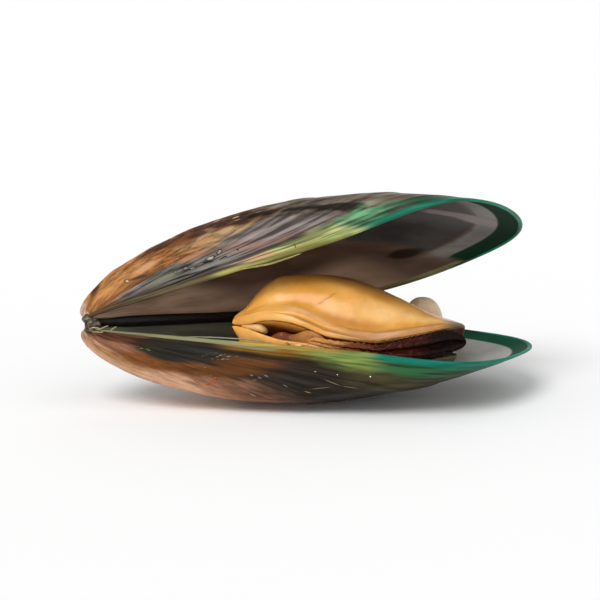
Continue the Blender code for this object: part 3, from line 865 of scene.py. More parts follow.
UPPER_OUTSIDE = ShellLime(
    name="upper_shell_lime",
    base=("#7a6e62", "#3b3129"),
    patches=(
        Patch("umber_back", "#5c4a3c", "#2c221b", (0.30, 1.3), (0.45, 1.10), (0.12, 0.06)),
        Patch("tawny", "#ad7039", "#683f21", (-0.3, 0.60), (0.17, 0.46), (0.06, 0.04), ragged=1.2),
        Patch("tawny_foot", "#a8703c", "#63401f", (-0.3, 0.52), (-0.2, 0.22), (0.05, 0.05), ragged=0.9),
        Patch("tan_worn", "#c98f54", "#8f5c33", (-0.2, 0.34), (0.06, 0.60), (0.12, 0.07)),
        Patch("cream_flecks", "#c9a77c", "#7f5b3a", (0.42, 0.63), (0.265, 0.345), (0.06, 0.03), ragged=2.0),
        Patch("russet", "#73492c", "#34211a", (0.26, 0.66), (0.325, 0.42), (0.10, 0.04), ragged=1.2),
        Patch("cream_beak", "#e3cdb6", "#b3927a", (-0.2, 0.075), (-0.1, 1.1), (0.03, 0.06)),
        Patch("brown_foot", "#86653f", "#4b3422", (0.10, 0.90), (0.02, 0.10), (0.08, 0.03)),
        Patch("violet_grey", "#9a938d", "#524b47", (0.52, 0.97), (0.075, 0.185), (0.05, 0.030), 0.20),
        Patch("slate_belly", "#8f8a84", "#494440", (0.56, 0.86), (0.140, 0.225), (0.05, 0.03), ragged=1.0),
        Patch("mauve", "#a08376", "#584640", (0.70, 1.00), (0.212, 0.300), (0.06, 0.020), 0.05),
        Patch("slate", "#a39793", "#594f4a", (0.62, 0.84), (0.285, 0.343), (0.05, 0.02), ragged=1.4),
        Patch("top_grey", "#8a7c6b", "#3c3128", (0.56, 1.3), (0.352, 0.47), (0.07, 0.02), ragged=1.2),
        Patch("olive_back", "#6b6a4c", "#33352a", (0.90, 1.3), (0.38, 0.46), (0.05, 0.03)),
        Patch("dark_ridge", "#2c2118", "#0e0a07", (0.56, 0.93), (0.338, 0.353), (0.08, 0.009), ragged=2.4),
        Patch("dark_seam", "#2a211b", "#120d0b", (0.855, 0.895), (0.085, 0.215), (0.02, 0.02), ragged=1.3),
        Patch("leaf_green", "#74ae80", "#21442e", (0.885, 1.3), (0.272, 0.375), (0.05, 0.03), ragged=2.2),
        Patch("deep_green", "#345f3f", "#193424", (0.91, 1.3), (0.345, 0.44), (0.04, 0.03), ragged=1.5),
        Patch("yellow_green", "#dedb98", "#95a25c", (0.895, 1.3), (0.240, 0.315), (0.04, 0.03), ragged=1.0),
        Patch("straw_lip", "#d6ab7c", "#9a6e50", (0.915, 1.3), (0.205, 0.250), (0.03, 0.03), ragged=1.0),
        Patch("green_margin", "#2c6b50", "#1c4634", (0.945, 1.3), (0.42, 0.585), (0.03, 0.02)),
        Patch("olive_far", "#8b8865", "#615f45", (0.90, 1.3), (0.600, 0.95), (0.05, 0.02)),
        Patch("teal_lip", "#1c8a6e", "#0f5a46", (0.974, 1.3), (0.320, 0.60), (0.014, 0.03), ragged=0.3),
        Patch("tan_lip", "#695b3e", "#33281c", (0.915, 1.3), (0.02, 0.205), (0.014, 0.02), ragged=0.5),
        Patch("olive_lip", "#a9a35c", "#79733a", (0.955, 1.3), (0.19, 0.27), (0.015, 0.03), ragged=0.4),
    ),
    seam="#17110d",
    seam_width=0.050,
    contrast=1.25,
    marks=(
        blotch(0.135, 0.340, (2.2, 0.55), 23.0, "#6e4127", 0.75),
        blotch(0.135, 0.353, (1.3, 0.35), 34.0, "#4a2a1a", 0.80),
        blotch(0.224, 0.212, (3.1, 0.70), 23.0, "#cf9258", 0.60),
        blotch(0.436, 0.320, (3.0, 1.00), 13.0, "#804a28", 0.60),
        blotch(0.450, 0.331, (2.0, 0.50), 22.0, "#3a2218", 0.75),
        blotch(0.562, 0.316, (2.2, 0.65), 13.0, "#bfa27c", 0.75),
        blotch(0.532, 0.294, (2.6, 0.60), 13.0, "#bd9164", 0.75),
        blotch(0.488, 0.337, (1.3, 0.40), 34.0, "#8d6f52", 0.70),
        blotch(0.585, 0.334, (2.0, 0.50), 19.0, "#32231a", 0.80),
        blotch(0.376, 0.251, (3.3, 0.80), 9.0, "#cc9a6c", 0.75),
        blotch(0.611, 0.234, (3.7, 0.55), 6.0, "#a8785a", 0.75),
        blotch(0.429, 0.199, (2.6, 0.35), 20.0, "#3b2619", 0.75),
        blotch(0.696, 0.165, (4.0, 0.80), 5.0, "#7b7868", 0.75),
        blotch(0.635, 0.136, (1.7, 0.50), 3.0, "#776a6c", 0.70),
        blotch(0.609, 0.124, (1.9, 0.35), 8.0, "#54464a", 0.70),
        blotch(0.680, 0.202, (1.8, 0.40), 6.0, "#241b17", 0.80),
        blotch(0.824, 0.172, (4.6, 0.20), 5.0, "#15100d", 0.85),
        blotch(0.427, 0.107, (2.8, 0.50), 12.0, "#8c5836", 0.70),
        Mark(0.354, 0.205, (0.51, 0.36), 53.0, "#c9b394", "#3a2618", 0.8),
        Mark(0.728, 0.223, (1.00, 0.42), 2.0, "#aaa294", "#14100e", 1.0),
        Mark(0.702, 0.242, (0.68, 0.40), -21.0, "#a29a8c", "#14100e", 1.0),
        Mark(0.795, 0.222, (1.24, 0.28), -6.0, "#231d1a", "#8a7f73", 0.6),
        Mark(0.770, 0.246, (0.34, 0.28), -19.0, "#231d1a", "#7a7066", 0.6),
        Mark(0.762, 0.211, (1.19, 0.22), 18.0, "#191412", "#191412", 0.7, 1.8),
        Mark(0.710, 0.195, (0.60, 0.24), -5.0, "#8d867b", "#14100e"),
        Mark(0.758, 0.194, (0.66, 0.22), 1.0, "#8d867b", "#14100e"),
        Mark(0.690, 0.186, (0.40, 0.22), 5.0, "#8d867b", "#14100e"),
        Mark(0.944, 0.261, (0.59, 0.11), 83.0, "#3a2f1c", "#3a2f1c", 0.4),
    ),
    specks=(
        Specks(
            Patch("crumbs", "#cdb692", "#5b3f26", (0.15, 0.60), (0.22, 0.42), (0.1, 0.05)),
            cell_mm=1.1,
            radius=0.30,
            bare=0.72,
        ),
    ),
    balance=0.515,
    crumbly=0.85,
)

LOWER_OUTSIDE = ShellLime(
    name="lower_shell_lime",
    base=("#3a2c21", "#231a13"),
    patches=(
        Patch("rose_brown", "#a37054", "#6b4732", (-0.2, 0.62), (0.03, 0.60), (0.14, 0.06)),
        Patch("pink_tan", "#cfa383", "#9c7358", (0.03, 0.44), (0.205, 0.60), (0.10, 0.07)),
        Patch("ochre_brown", "#ac8054", "#785234", (0.12, 0.46), (0.235, 0.31), (0.08, 0.04), ragged=1.3),
        Patch("rust", "#875024", "#573114", (0.24, 0.64), (0.17, 0.29), (0.12, 0.05), 0.02, ragged=1.2),
        Patch("cream_beak", "#c9ab8d", "#8c6a50", (-0.2, 0.05), (0.08, 0.60), (0.04, 0.06)),
        Patch("plum", "#6d442f", "#46291e", (0.25, 0.97), (0.065, 0.120), (0.12, 0.025)),
        Patch("grey_green", "#34322a", "#1b1a15", (0.52, 0.95), (0.130, 0.222), (0.12, 0.035), ragged=0.8),
        Patch("chestnut", "#6d411c", "#422711", (0.44, 0.90), (0.228, 0.280), (0.12, 0.04), ragged=0.9),
        Patch("umber", "#32281e", "#19130e", (0.56, 1.3), (0.290, 0.46), (0.22, 0.06), ragged=0.9),
        Patch("olive_brown", "#494327", "#2c2819", (0.80, 1.3), (0.34, 0.60), (0.14, 0.06), ragged=0.5),
        Patch("ochre", "#966b24", "#6a4719", (0.89, 1.3), (0.195, 0.270), (0.08, 0.04), ragged=0.5),
        Patch("moss_green", "#8ea24e", "#62763f", (0.885, 1.3), (0.262, 0.345), (0.10, 0.050), ragged=0.35),
        Patch("sea_green", "#326a40", "#1f4a2c", (0.910, 1.3), (0.325, 0.45), (0.07, 0.05), ragged=0.4),
        Patch("green_margin", "#2a6348", "#1a4030", (0.945, 1.3), (0.40, 0.590), (0.025, 0.03)),
        Patch("olive_far", "#6f6d4e", "#4c4a35", (0.90, 1.3), (0.600, 0.95), (0.05, 0.03)),
        Patch("pale_lip", "#918f69", "#6d6c4b", (0.955, 1.3), (0.02, 0.235), (0.020, 0.02), ragged=0.2),
        Patch("yellow_lip", "#bfa957", "#94803b", (0.974, 1.3), (0.195, 0.290), (0.014, 0.025), ragged=0.2),
        Patch("teal_lip", "#108069", "#0b5f50", (0.966, 1.3), (0.315, 0.59), (0.018, 0.025), ragged=0.3),
    ),
    seam="#17100b",
    seam_width=0.06,
    contrast=0.8,
    marks=(
        Mark(0.452, 0.331, (2.13, 0.12), 2.0, "#c07a4e", "#5b2f18", 0.5),
        Mark(0.456, 0.290, (2.53, 0.11), -3.0, "#9a6638", "#6b4020", 0.4),
        Mark(0.503, 0.309, (1.11, 0.16), 58.0, "#c2572a", "#5b2412", 0.7),
        Mark(0.547, 0.287, (0.47, 0.11), 6.0, "#c2572a", "#5b2412", 0.5),
        Mark(0.780, 0.341, (2.20, 0.10), -6.0, "#6d685a", "#4a4438", 0.3, 0.6),
        Mark(0.778, 0.362, (1.98, 0.10), 5.0, "#655f4f", "#4a4438", 0.3, 0.6),
        Mark(0.728, 0.350, (2.33, 0.11), 19.0, "#5d5948", "#443e32", 0.3, 0.6),
        Mark(0.679, 0.358, (0.85, 0.10), 0.0, "#8f8350", "#4a4330", 0.4, 0.8),
        Mark(0.541, 0.360, (0.91, 0.10), 0.0, "#85806e", "#4a4438", 0.3, 0.6),
        Mark(0.676, 0.329, (0.72, 0.10), -8.0, "#6d685a", "#4a4438", 0.3, 0.6),
        Mark(0.674, 0.284, (0.49, 0.16), -3.0, "#77706a", "#4b433c", 0.4, 0.8),
        Mark(0.674, 0.295, (0.54, 0.16), -3.0, "#6c6660", "#4b433c", 0.4, 0.8),
        Mark(0.703, 0.292, (0.65, 0.16), -5.0, "#77706a", "#4b433c", 0.4, 0.8),
        Mark(0.825, 0.305, (0.20, 0.14), 0.0, "#e0b070", "#5b4a30", 0.3, 0.6),
        Mark(0.837, 0.324, (0.17, 0.13), 0.0, "#dcdccf", "#5b5a48", 0.3, 0.6),
        Mark(0.866, 0.347, (0.20, 0.16), 0.0, "#f0f0e4", "#5b5a48", 0.3, 0.6),
    ),
    specks=(
        Specks(
            Patch("weed_grains", "#b9b765", "#62703c", (0.575, 0.635), (0.158, 0.180), (0.02, 0.006)),
            cell_mm=0.7,
            radius=0.42,
            bare=0.35,
        ),
        Specks(
            Patch("sand_grains", "#d8d5c6", "#7d7c70", (0.745, 0.815), (0.198, 0.226), (0.02, 0.006)),
            cell_mm=0.6,
            radius=0.36,
            bare=0.45,
        ),
        Specks(
            Patch("stray_grains", "#a9a594", "#6a665a", (0.45, 0.90), (0.12, 0.34), (0.1, 0.04)),
            cell_mm=1.6,
            radius=0.10,
            bare=0.80,
        ),
    ),
    balance=0.50,
    gloss=0.11,
)

UPPER_INSIDE = Nacre(
    name="upper_nacre",
    base=("#cfae94", "#a68a74"),
    patches=(
        Patch("brown_middle", "#6c594d", "#503f36", (0.55, 1.3), (0.36, 0.640), (0.12, 0.07), ragged=0.25),
        Patch("umber_hollow", "#75594a", "#5b4639", (0.3, 0.80), (0.60, 0.76), (0.12, 0.08), ragged=0.25),
        Patch("pearl_tip", "#86847f", "#6b6965", (0.915, 1.3), (0.36, 0.575), (0.012, 0.06), warp=0.2),
        Patch("slate_zone", "#4c4846", "#353232", (0.70, 0.905), (0.44, 0.580), (0.010, 0.02), warp=0.2),
        Patch("mauve_streak", "#948889", "#7a6f71", (0.80, 1.3), (0.478, 0.497), (0.03, 0.008)),
        Patch(
            "muscle_scar", "#2b1f18", "#251a14", (0.828, 0.888), (0.578, 0.610), (0.028, 0.014),
            ragged=0.5, warp=1.2,
        ),
        Patch(
            "olive_rim", "#8e885d", "#777050", (0.986, 1.3), (0.59, 0.95), (0.006, 0.02),
            ragged=0.1, warp=0,
        ),
        Patch(
            "deep_green_rim", "#032f1b", "#022012", (0.958, 1.3), (0.37, 0.592), (0.004, 0.015),
            ragged=0.05, warp=0,
        ),
    ),
)

LOWER_INSIDE = Nacre(
    name="lower_nacre",
    base=("#767668", "#5c5c50"),
    patches=(
        Patch("pearl_white", "#b4b4b0", "#969692", (0.60, 1.3), (0.40, 0.60), (0.06, 0.05)),
        Patch("moss_shade", "#87897a", "#6b6c5d", (0.2, 1.3), (0.60, 0.99), (0.05, 0.05)),
        Patch("tan_strip", "#8a7350", "#66533a", (0.75, 1.3), (0.28, 0.420), (0.06, 0.03)),
        Patch(
            "deep_green_rim", "#17573f", "#0f4030", (0.966, 1.3), (0.38, 0.60), (0.006, 0.02),
            ragged=0.1, warp=0,
        ),
        Patch(
            "pale_rim", "#a3ab8f", "#858d70", (0.980, 1.3), (0.02, 0.30), (0.005, 0.02),
            ragged=0.1, warp=0,
        ),
    ),
)


@dataclass
class Valve:
    """One valve: its outside with growth ledges and wear, its rounded lip and its nacre inside."""

    side: Side
    outside: ShellLime
    inside: Nacre
    seed: int
    lip_points: int = 280
    outer_lines: int = 230
    lip_lines: int = 6
    inner_lines: int = 90
    youngest: float = 0.004
    youngest_inside: float = 0.17
    inner_crowding: float = 1.5
    lip_width: float = 1.0 * MM
    lip_bulge: float = 0.30 * MM
    least_wall: float = 0.65 * MM
    lip_taper: float = 1.5 * MM
    open_from: tuple[float, float] = (0.30, 0.75)
    ledge_ages: tuple[float, ...] = (0.63, 0.81)
    ledge_step: float = 0.30 * MM
    ledge_drop: float = 0.012

    def grid(self, ages: Array) -> list[Array]:
        """Each point's age and its place round the lip, for rings of these ages."""
        return np.meshgrid(ages, np.linspace(0, 1, self.lip_points, endpoint=False), indexing="ij")

    def ledges(self, age: Array) -> Array:
        """How far each growth line stands out: it rises to each growth ledge and drops just after it.

        Args:
            age: Each point's age.

        Returns:
            Heights in metres.
        """
        height = np.zeros_like(age)
        start = 0.0
        for ledge in self.ledge_ages:
            rising = (age > start) & (age <= ledge)
            height[rising] = self.ledge_step * ((age[rising] - start) / (ledge - start)) ** 3
            start = ledge + self.ledge_drop
            falling = (age > ledge) & (age <= start)
            height[falling] = self.ledge_step * (1 - (age[falling] - ledge) / self.ledge_drop)
        return height

    def relief(self, age: Array, place: Array, open_lines: Array) -> Array:
        """Growth lines, wrinkles and wear over the smooth growth.

        Args:
            age: Each point's age.
            place: Each point's place round the lip.
            open_lines: How far apart the growth lines lie there, from 0 to 1.

        Returns:
            Heights in metres.
        """

        def waves(height: float, across: int, cell: float, seed: int) -> Array:
            """Noise this high in millimetres, in cells of a part of the lip by hundredths of age."""
            return height * wander(place * across, age * 100 / cell, self.seed + seed, across)

        crowded = waves(0.060, 7, 6.5, 6) + waves(0.040, 12, 3.6, 7)
        apart = waves(0.055, 9, 2.3, 0) + waves(0.045, 16, 1.7, 1)
        wrinkled = 0.5 + 0.5 * wander(place * 12, age * 7, self.seed + 2, 12)
        lines = mix(crowded, apart, open_lines) * (0.4 + 0.9 * wrinkled)
        lines += hump(age, 0.08, 0.50, 0.12) * (waves(0.12, 45, 3.2, 3) + waves(0.05, 78, 2.0, 4))
        height = lines * MM * ease(age, 0.02, 0.15) + self.ledges(age)
        return height * (1 - 0.7 * ease(age, 0.975, 1.0))

    def openness(self, rows: Array, ages: Array) -> Array:
        """Where the growth lines lie far apart, 1, and where they crowd together, 0.

        Args:
            rows: The growth lines, rings x points x 3.
            ages: Each ring's age.

        Returns:
            One number for each point.
        """
        run = unit(np.roll(rows, -1, axis=1) - np.roll(rows, 1, axis=1))
        growth = np.gradient(rows / MM, ages * 100, axis=0)
        growth -= (growth * run).sum(axis=2)[:, :, None] * run
        return ease(np.linalg.norm(growth, axis=2), *self.open_from)

    def walled(self, inside: Array, outside: Array) -> Array:
        """Pushes the inside in where the wall would be too thin, but for the stretch next to the lip.

        Args:
            inside: Rings over the inside.
            outside: Rings over the outside.

        Returns:
            The inside's rings.
        """
        wall = BVHTree.FromPolygons(outside.reshape(-1, 3).tolist(), quads(*outside.shape[:2]))
        facing = outward(outside)[:-1].reshape(-1, 3)
        points = inside.reshape(-1, 3).copy()
        for point in points:
            least = self.least_wall * min(max(-point[2] / self.lip_taper, 0.0), 1.0)
            where, _, quad, _ = wall.find_nearest(Vector(point))
            depth = (np.array(where) - point) @ facing[quad]
            point -= facing[quad] * max(least - depth, 0.0)
        return points.reshape(inside.shape)

    def shell(self, ages: Array, inner_ages: Array) -> tuple[Array, Array]:
        """Rings from the beak over the outside, round the lip and back over the inside.

        Args:
            ages: Ages of the outside's growth lines.
            inner_ages: Ages of the inside's.

        Returns:
            The rings in the shell's own frame, and how far apart the outside's growth lines lie.
        """
        lip = LAW.lip(self.lip_points)
        smooth = np.array([LAW.line(lip, age) for age in ages])
        open_lines = self.openness(smooth, ages)
        outside = smooth + outward(smooth) * self.relief(*self.grid(ages), open_lines)[:, :, None]
        widths = self.lip_width * (1 + LAW.inside_widening * (1 / inner_ages - 1))
        edges = [LAW.inset(lip, width) for width in widths]
        inside = [LAW.line(edge, age, LAW.inside_depth) for edge, age in zip(edges, inner_ages)]
        inside = self.walled(np.array(inside), smooth)
        rounding = []
        for share in np.arange(1, self.lip_lines + 1) / (self.lip_lines + 1):
            row = mix(outside[-1], inside[0], (1 - math.cos(math.pi * share)) / 2)
            row[:, 2] += self.lip_bulge * math.sin(math.pi * share)
            rounding.append(row)
        return np.concatenate([outside, np.array(rounding), inside]), open_lines

    def masks(self, age: Array, place: Array, open_lines: Array) -> dict[str, Array]:
        """What the two materials read at each point.

        Args:
            age: Each point's age.
            place: Each point's place round the lip.
            open_lines: How far apart the outside's growth lines lie.

        Returns:
            Values by attribute name.
        """
        travel = np.broadcast_to(LAW.travel(self.lip_points), age.shape)
        seams = 0.8 * ease(age, 0.35, 0.7) * (1 - 0.7 * ease(age, 0.95, 0.99))
        worn = hump(age, 0.20, 0.60, 0.12) * hump(place, 0.20, 0.46, 0.05)
        crumbly_ridge = hump(age, 0.55, 0.93, 0.04) * hump(place, 0.336, 0.362, 0.012)
        masks = {
            "growth": np.stack([travel, age * 100, np.zeros_like(age)], axis=2),
            "open_lines": np.pad(open_lines, ((0, len(age) - len(open_lines)), (0, 0)), mode="edge"),
            "seams": seams * (0.65 + 0.35 * wander(place * 12, age * 9, self.seed + 5, 12)),
            "worn": np.maximum(worn, crumbly_ridge) * self.outside.crumbly,
        }
        zones = tuple(specks.zone for specks in self.outside.specks)
        for patch in self.outside.patches + self.inside.patches + zones:
            masks.setdefault(patch.name, patch.share(age, place))
        return masks

    def build(self) -> Piece:
        """Builds the valve's mesh and stores its ages, places and patches."""
        ages = np.linspace(self.youngest, 1, self.outer_lines)
        inner_share = np.linspace(0, 1, self.inner_lines) ** self.inner_crowding
        inner_ages = 1 - (1 - self.youngest_inside) * inner_share
        rows, open_lines = self.shell(ages, inner_ages)
        rows = LIE.place(rows, self.side)
        # The belly is planed flat where it rests.
        rows[:, :, 2] = np.maximum(rows[:, :, 2], 0.0)
        materials = [self.outside.material(), self.inside.material()]
        piece = skin(f"{self.side.value}_shell", rows, materials, self.outer_lines + self.lip_lines)
        all_ages = np.concatenate([ages, np.ones(self.lip_lines), inner_ages])
        for name, values in self.masks(*self.grid(all_ages), open_lines).items():
            mark(piece, name, values)
        report(piece, "shell", self.side.value)
        return piece


# The meat


# Flesh and finishes: moist orange mantle, dark rough frill, fine-grained gills, smooth foot, fibrous muscle.
ORANGE_FLESH = CookedFlesh(
    name="cooked_mantle",
    base="#e39f42",
    glow="#efb25a",
    tints=(
        ("rolled_edge", "#c18a50"),
        ("pale_ridge", "#e8b684"),
        # A paler tint on the body's near flank: a painted highlight.
        ("painted_highlight_flank", "#f7cb88"),
        # A darker tint along the valley behind the rolled edge: painted shade.
        ("shaded_valley", "#cd8a3c"),
        # A darker line along the crease in the rolled edge: painted shade.
        ("crease_painted_shade", "#a9762a"),
        # A darker tint along the nick: painted shade in its groove.
        ("nick", "#b0733a"),
        # Brown behind the crest: partly the meat's own colour, partly painted shade under the upper valve.
        ("back", "#8a5a2a"),
        # A deep brown under the upper lobe, inside the mouth and over the lower lobe's trough: painted
        # shade.
        ("shaded_underside", "#55230a"),
        ("rear_foot", "#5f5838"),
        ("rear_rim", "#5f4d28"),
    ),
)
MAROON_FRILL = CookedFlesh(
    name="cooked_frill",
    base="#2a0a05",
    glow="#38120a",
    tints=(
        ("papillae", "#63301f"),
        ("brown_fuzz", "#74401f"),
        ("fuzzy_start", "#c88e52"),
        ("dark_end", "#140704"),
    ),
    grain_mm=(0.5, 0.5, 0.5),
    grain_depth_mm=0.12,
    roughness=0.55,
    gloss=0.15,
    scatter=0.05,
    wet=0.03,
)
TAN_GILLS = CookedFlesh(
    name="cooked_gills",
    base="#a3682a",
    glow="#b87f3c",
    tints=(("pink_curl", "#7d3d18"), ("brown_specks", "#7d431f")),
    grain_mm=(0.5, 1.5, 1.5),
    roughness=0.5,
    wet=0.12,
)
PALE_FOOT = CookedFlesh(name="cooked_foot", base="#dba85f", glow="#e6c083", grain_mm=(1.5, 1.0, 1.0))
TAN_MUSCLE = CookedFlesh(
    name="cooked_muscle",
    base="#e6c698",
    glow="#f0d8ae",
    grain_mm=(0.5, 1.0, 8.0),
    scatter=0.45,
    scatter_mm=2.5,
)


@dataclass
class Floor:
    """The lower valve, for what lies in it."""

    valve: Piece

    def __post_init__(self) -> None:
        """Lays the valve back in the shell's own frame."""
        back = np.array(LIE.lying().inverted())
        points = np.array([v.co[:] for v in self.valve.data.vertices]) @ back[:3, :3].T + back[:3, 3]
        self.tree = BVHTree.FromPolygons(points.tolist(), [p.vertices[:] for p in self.valve.data.polygons])

    def height(self, x: float, y: float, gap: float, steepest: float = 1.0) -> float:
        """Height of the valve's inside under a point, with a gap over it.

        Args:
            x: The point's place along the shell.
            y: Its place across.
            gap: The gap in metres.
            steepest: The least upward part of the normal by which the gap grows on a slope.

        Returns:
            The height as a share of the shell's length.
        """
        above = Vector((x * SHELL_LENGTH, y * SHELL_LENGTH, SHELL_LENGTH))
        place, normal, _, _ = self.tree.ray_cast(above, Vector((0, 0, -1)))
        return 0.0 if place is None else (place.z + gap / max(abs(normal.z), steepest)) / SHELL_LENGTH


@dataclass
class Organ:
    """A soft organ of the meat: a loft of closed sections along the shell.

    Its tips are the points that its ends close in on, as along, across and up.
    """

    name: str
    node: str
    slot: str
    finish: CookedFlesh
    tips: tuple
    sections: int
    spans: tuple[int, ...]
    stations: tuple
    bluntness: float = 5.0

    def read(self, x: float, *tables: tuple) -> list[float]:
        """The tables' values at this place along the shell."""
        return [float(along(self.stations, table, np.array([x]))[0]) for table in tables]

    def corners(self, x: float) -> Array:
        """Corners of the section at this place along the shell."""
        raise NotImplementedError

    def settle(self, x: float, points: Array) -> Array:
        """Moves a section's points where something holds them; here, nowhere."""
        return points

    def bulge(self, x: Array, place: Array) -> Array:
        """How far each point stands out from the smooth loft, in millimetres."""
        return np.zeros(x.shape)

    def held(self, rows: Array) -> Array:
        """The finished rows, kept clear of what they lie on; here, as they are."""
        return rows

    def shares(self, x: Array, place: Array) -> dict[str, Array]:
        """The organ's tint masks by name."""
        return {}

    def build(self) -> Organ:
        """Builds the organ's mesh and stores its tints."""
        reach = -np.cos(np.pi * np.linspace(0.004, 0.996, self.sections))
        along_shell = mix(self.tips[0][0], self.tips[1][0], (1 + reach) / 2)
        fullness = np.sqrt(1 - np.abs(reach) ** self.bluntness)
        rows = []
        for x, full, forward in zip(along_shell, fullness, reach > 0):
            points, place = closed_curve(self.corners(x), self.spans)
            points = mix(np.array(self.tips[int(forward)][1:]), self.settle(x, points), full)
            rows.append(np.column_stack([np.full(len(points), x), points]))
        rows = np.array(rows) * SHELL_LENGTH
        x, place = np.meshgrid(along_shell, place, indexing="ij")
        normal = outward(rows)
        if ((rows - rows.mean(axis=1, keepdims=True)) * normal).sum() < 0:
            normal = -normal
        rows = rows + normal * (self.bulge(x, place) * MM * fullness[:, None])[:, :, None]
        piece = loft(self.name, self.held(rows), self.finish, self.slot, self.node)
        for name, share in self.shares(x, place).items():
            mark(piece, name, share)
        return self


@lru_cache
def smoothed(stations: tuple, table: tuple) -> tuple[Array, Array]:
    """A table on even places between its stations, smoothed a little so that no station shows.

    Args:
        stations: Places along the shell.
        table: Its value at each of them.

    Returns:
        The even places, and the values there.
    """
    fine = np.linspace(stations[0], stations[-1], 400)
    kernel = np.hanning(23)
    padded = np.pad(np.interp(fine, stations, table), len(kernel) // 2, mode="edge")
    return fine, np.convolve(padded, kernel / kernel.sum(), mode="valid")


@dataclass
class UpperLobe(Organ):
    """Upper lobe of the mantle: the plump orange body with its thick rolled edge."""

    name: str = "mantle_upper_flesh"
    node: str = "mantle_upper_lobe"
    slot: str = "mantle"
    finish: CookedFlesh = ORANGE_FLESH
    tips: tuple = ((0.3295, -0.042, 0.034), (0.847, -0.060, 0.045))
    sections: int = 190
    spans: tuple[int, ...] = (6, 7, 7, 6, 6, 8, 10, 12, 14, 12, 12, 10, 10, 8, 6, 6, 6, 6)
    bluntness: float = 24.0
    stations: tuple = (
        0.328, 0.345, 0.357, 0.368, 0.383, 0.400, 0.430, 0.465,
        0.500, 0.545, 0.600, 0.655, 0.705, 0.760, 0.800, 0.835,
    )
    edge_y: tuple = (
        -0.040, -0.050, -0.056, -0.062, -0.072, -0.082, -0.096, -0.105,
        -0.113, -0.122, -0.128, -0.129, -0.127, -0.118, -0.103, -0.079,
    )
    edge_z: tuple = (
        0.0235, 0.0245, 0.0275, 0.0320, 0.0385, 0.0450, 0.0490, 0.0455,
        0.0360, 0.0190, 0.0140, 0.0106, 0.0215, 0.0340, 0.0440, 0.0460,
    )
    fold: tuple = (
        0.026, 0.029, 0.029, 0.027, 0.027, 0.026, 0.026, 0.032,
        0.034, 0.034, 0.026, 0.0245, 0.022, 0.018, 0.013, 0.006,
    )
    crest_y: tuple = (
        -0.032, -0.022, -0.013, -0.006, 0.002, 0.010, 0.020, 0.026,
        0.028, 0.028, 0.024, 0.016, 0.006, -0.012, -0.028, -0.045,
    )
    crest_z: tuple = (
        0.0530, 0.0585, 0.0640, 0.0790, 0.0985, 0.1158, 0.1330, 0.1370,
        0.1393, 0.1400, 0.1330, 0.1133, 0.0938, 0.0700, 0.0590, 0.0535,
    )
    far_y: tuple = (
        -0.020, 0.012, 0.036, 0.055, 0.078, 0.098, 0.122, 0.143,
        0.155, 0.157, 0.150, 0.128, 0.104, 0.082, 0.058, 0.012,
    )
    far_z: tuple = (
        0.034, 0.027, 0.021, 0.017, 0.011, 0.006, 0.001, 0.0,
        0.0, 0.0, 0.0, 0.003, 0.007, 0.015, 0.023, 0.034,
    )
    crease: tuple = (
        0.90, 0.90, 0.90, 0.90, 0.86, 0.80, 0.70, 0.60,
        0.52, 0.50, 0.46, 0.45, 0.45, 0.45, 0.45, 0.45,
    )
    creased: tuple = (0.0, 0.0, 0.0, 0.05, 0.1, 0.2, 0.5, 0.8, 0.9, 0.8, 0.3, 0.0, 0.0, 0.0, 0.0, 0.0)
    roof_base: float = -0.010
    roof_reach: float = 0.045

    def read(self, x: float, *tables: tuple) -> list[float]:
        """The smoothed tables' values at this place along the shell."""
        return [float(np.interp(x, *smoothed(self.stations, table))) for table in tables]

    def roof(self, x: float, y: Array) -> Array:
        """Underside of the lobe: level with its edge on the near side, and lower behind it.

        Args:
            x: The section's place along the shell.
            y: Places across.

        Returns:
            Heights at those places.
        """
        edge_y, edge_z = self.read(x, self.edge_y, self.edge_z)
        inboard = np.maximum(y - edge_y, 0) / self.roof_reach
        return self.roof_base + (edge_z - self.roof_base) * np.exp(-(inboard**2))

    def corners(self, x: float) -> Array:
        """The edge's two rolls, the valley behind them, the plump near side, the crest and the far side."""
        edge_y, edge_z, fold, crease, creased = self.read(
            x, self.edge_y, self.edge_z, self.fold, self.crease, self.creased
        )
        crest_y, crest_z, far_y, far_z = self.read(x, self.crest_y, self.crest_z, self.far_y, self.far_z)
        shoulder = edge_z + fold
        back = 0.16 * creased
        soft = 1 - float(ease(x, 0.46, 0.56))
        shaded_underside = [mix(far_y, edge_y, share) for share in (0.2, 0.45, 0.7, 0.88)]
        return np.array(
            [
                (edge_y + 0.50 * fold, edge_z - 0.02 * fold),
                (edge_y + 0.10 * fold, edge_z + 0.12 * fold),
                (edge_y + (0.02 + 0.3 * back) * fold, edge_z + 0.62 * crease * fold),
                (edge_y + (0.04 + back) * fold, edge_z + crease * fold * 0.97),
                (edge_y + 0.10 * fold, edge_z + (crease + 0.35 * (1 - crease)) * fold),
                (edge_y + 0.34 * fold, edge_z + (0.98 + 0.02 * soft) * fold),
                (edge_y + 0.70 * fold, shoulder + (0.02 + 0.16 * soft) * fold),
                (mix(edge_y, crest_y, 0.16) + 0.50 * fold, mix(shoulder, crest_z, 0.18)),
                (mix(edge_y, crest_y, 0.38) + 0.15 * fold, mix(shoulder, crest_z, 0.58)),
                (mix(edge_y, crest_y, 0.66), mix(shoulder, crest_z, 0.90)),
                (crest_y, crest_z),
                (mix(crest_y, far_y, 0.45), mix(crest_z, far_z, 0.22)),
                (mix(crest_y, far_y, 0.82), mix(crest_z, far_z, 0.60)),
                (far_y, far_z),
                *((y, float(self.roof(x, y))) for y in shaded_underside),
            ]
        )

    def settle(self, x: float, points: Array) -> Array:
        """Keeps the underside at or above the roof."""
        return np.column_stack([points[:, 0], np.maximum(points[:, 1], self.roof(x, points[:, 0]))])

    def nick(self, x: Array, place: Array) -> Array:
        """A short thin nick that runs up the body's near side."""
        return peak(x - (place - 7.9) * 0.040, 0.543, 0.0020) * hump(place, 7.40, 8.25, 0.12)

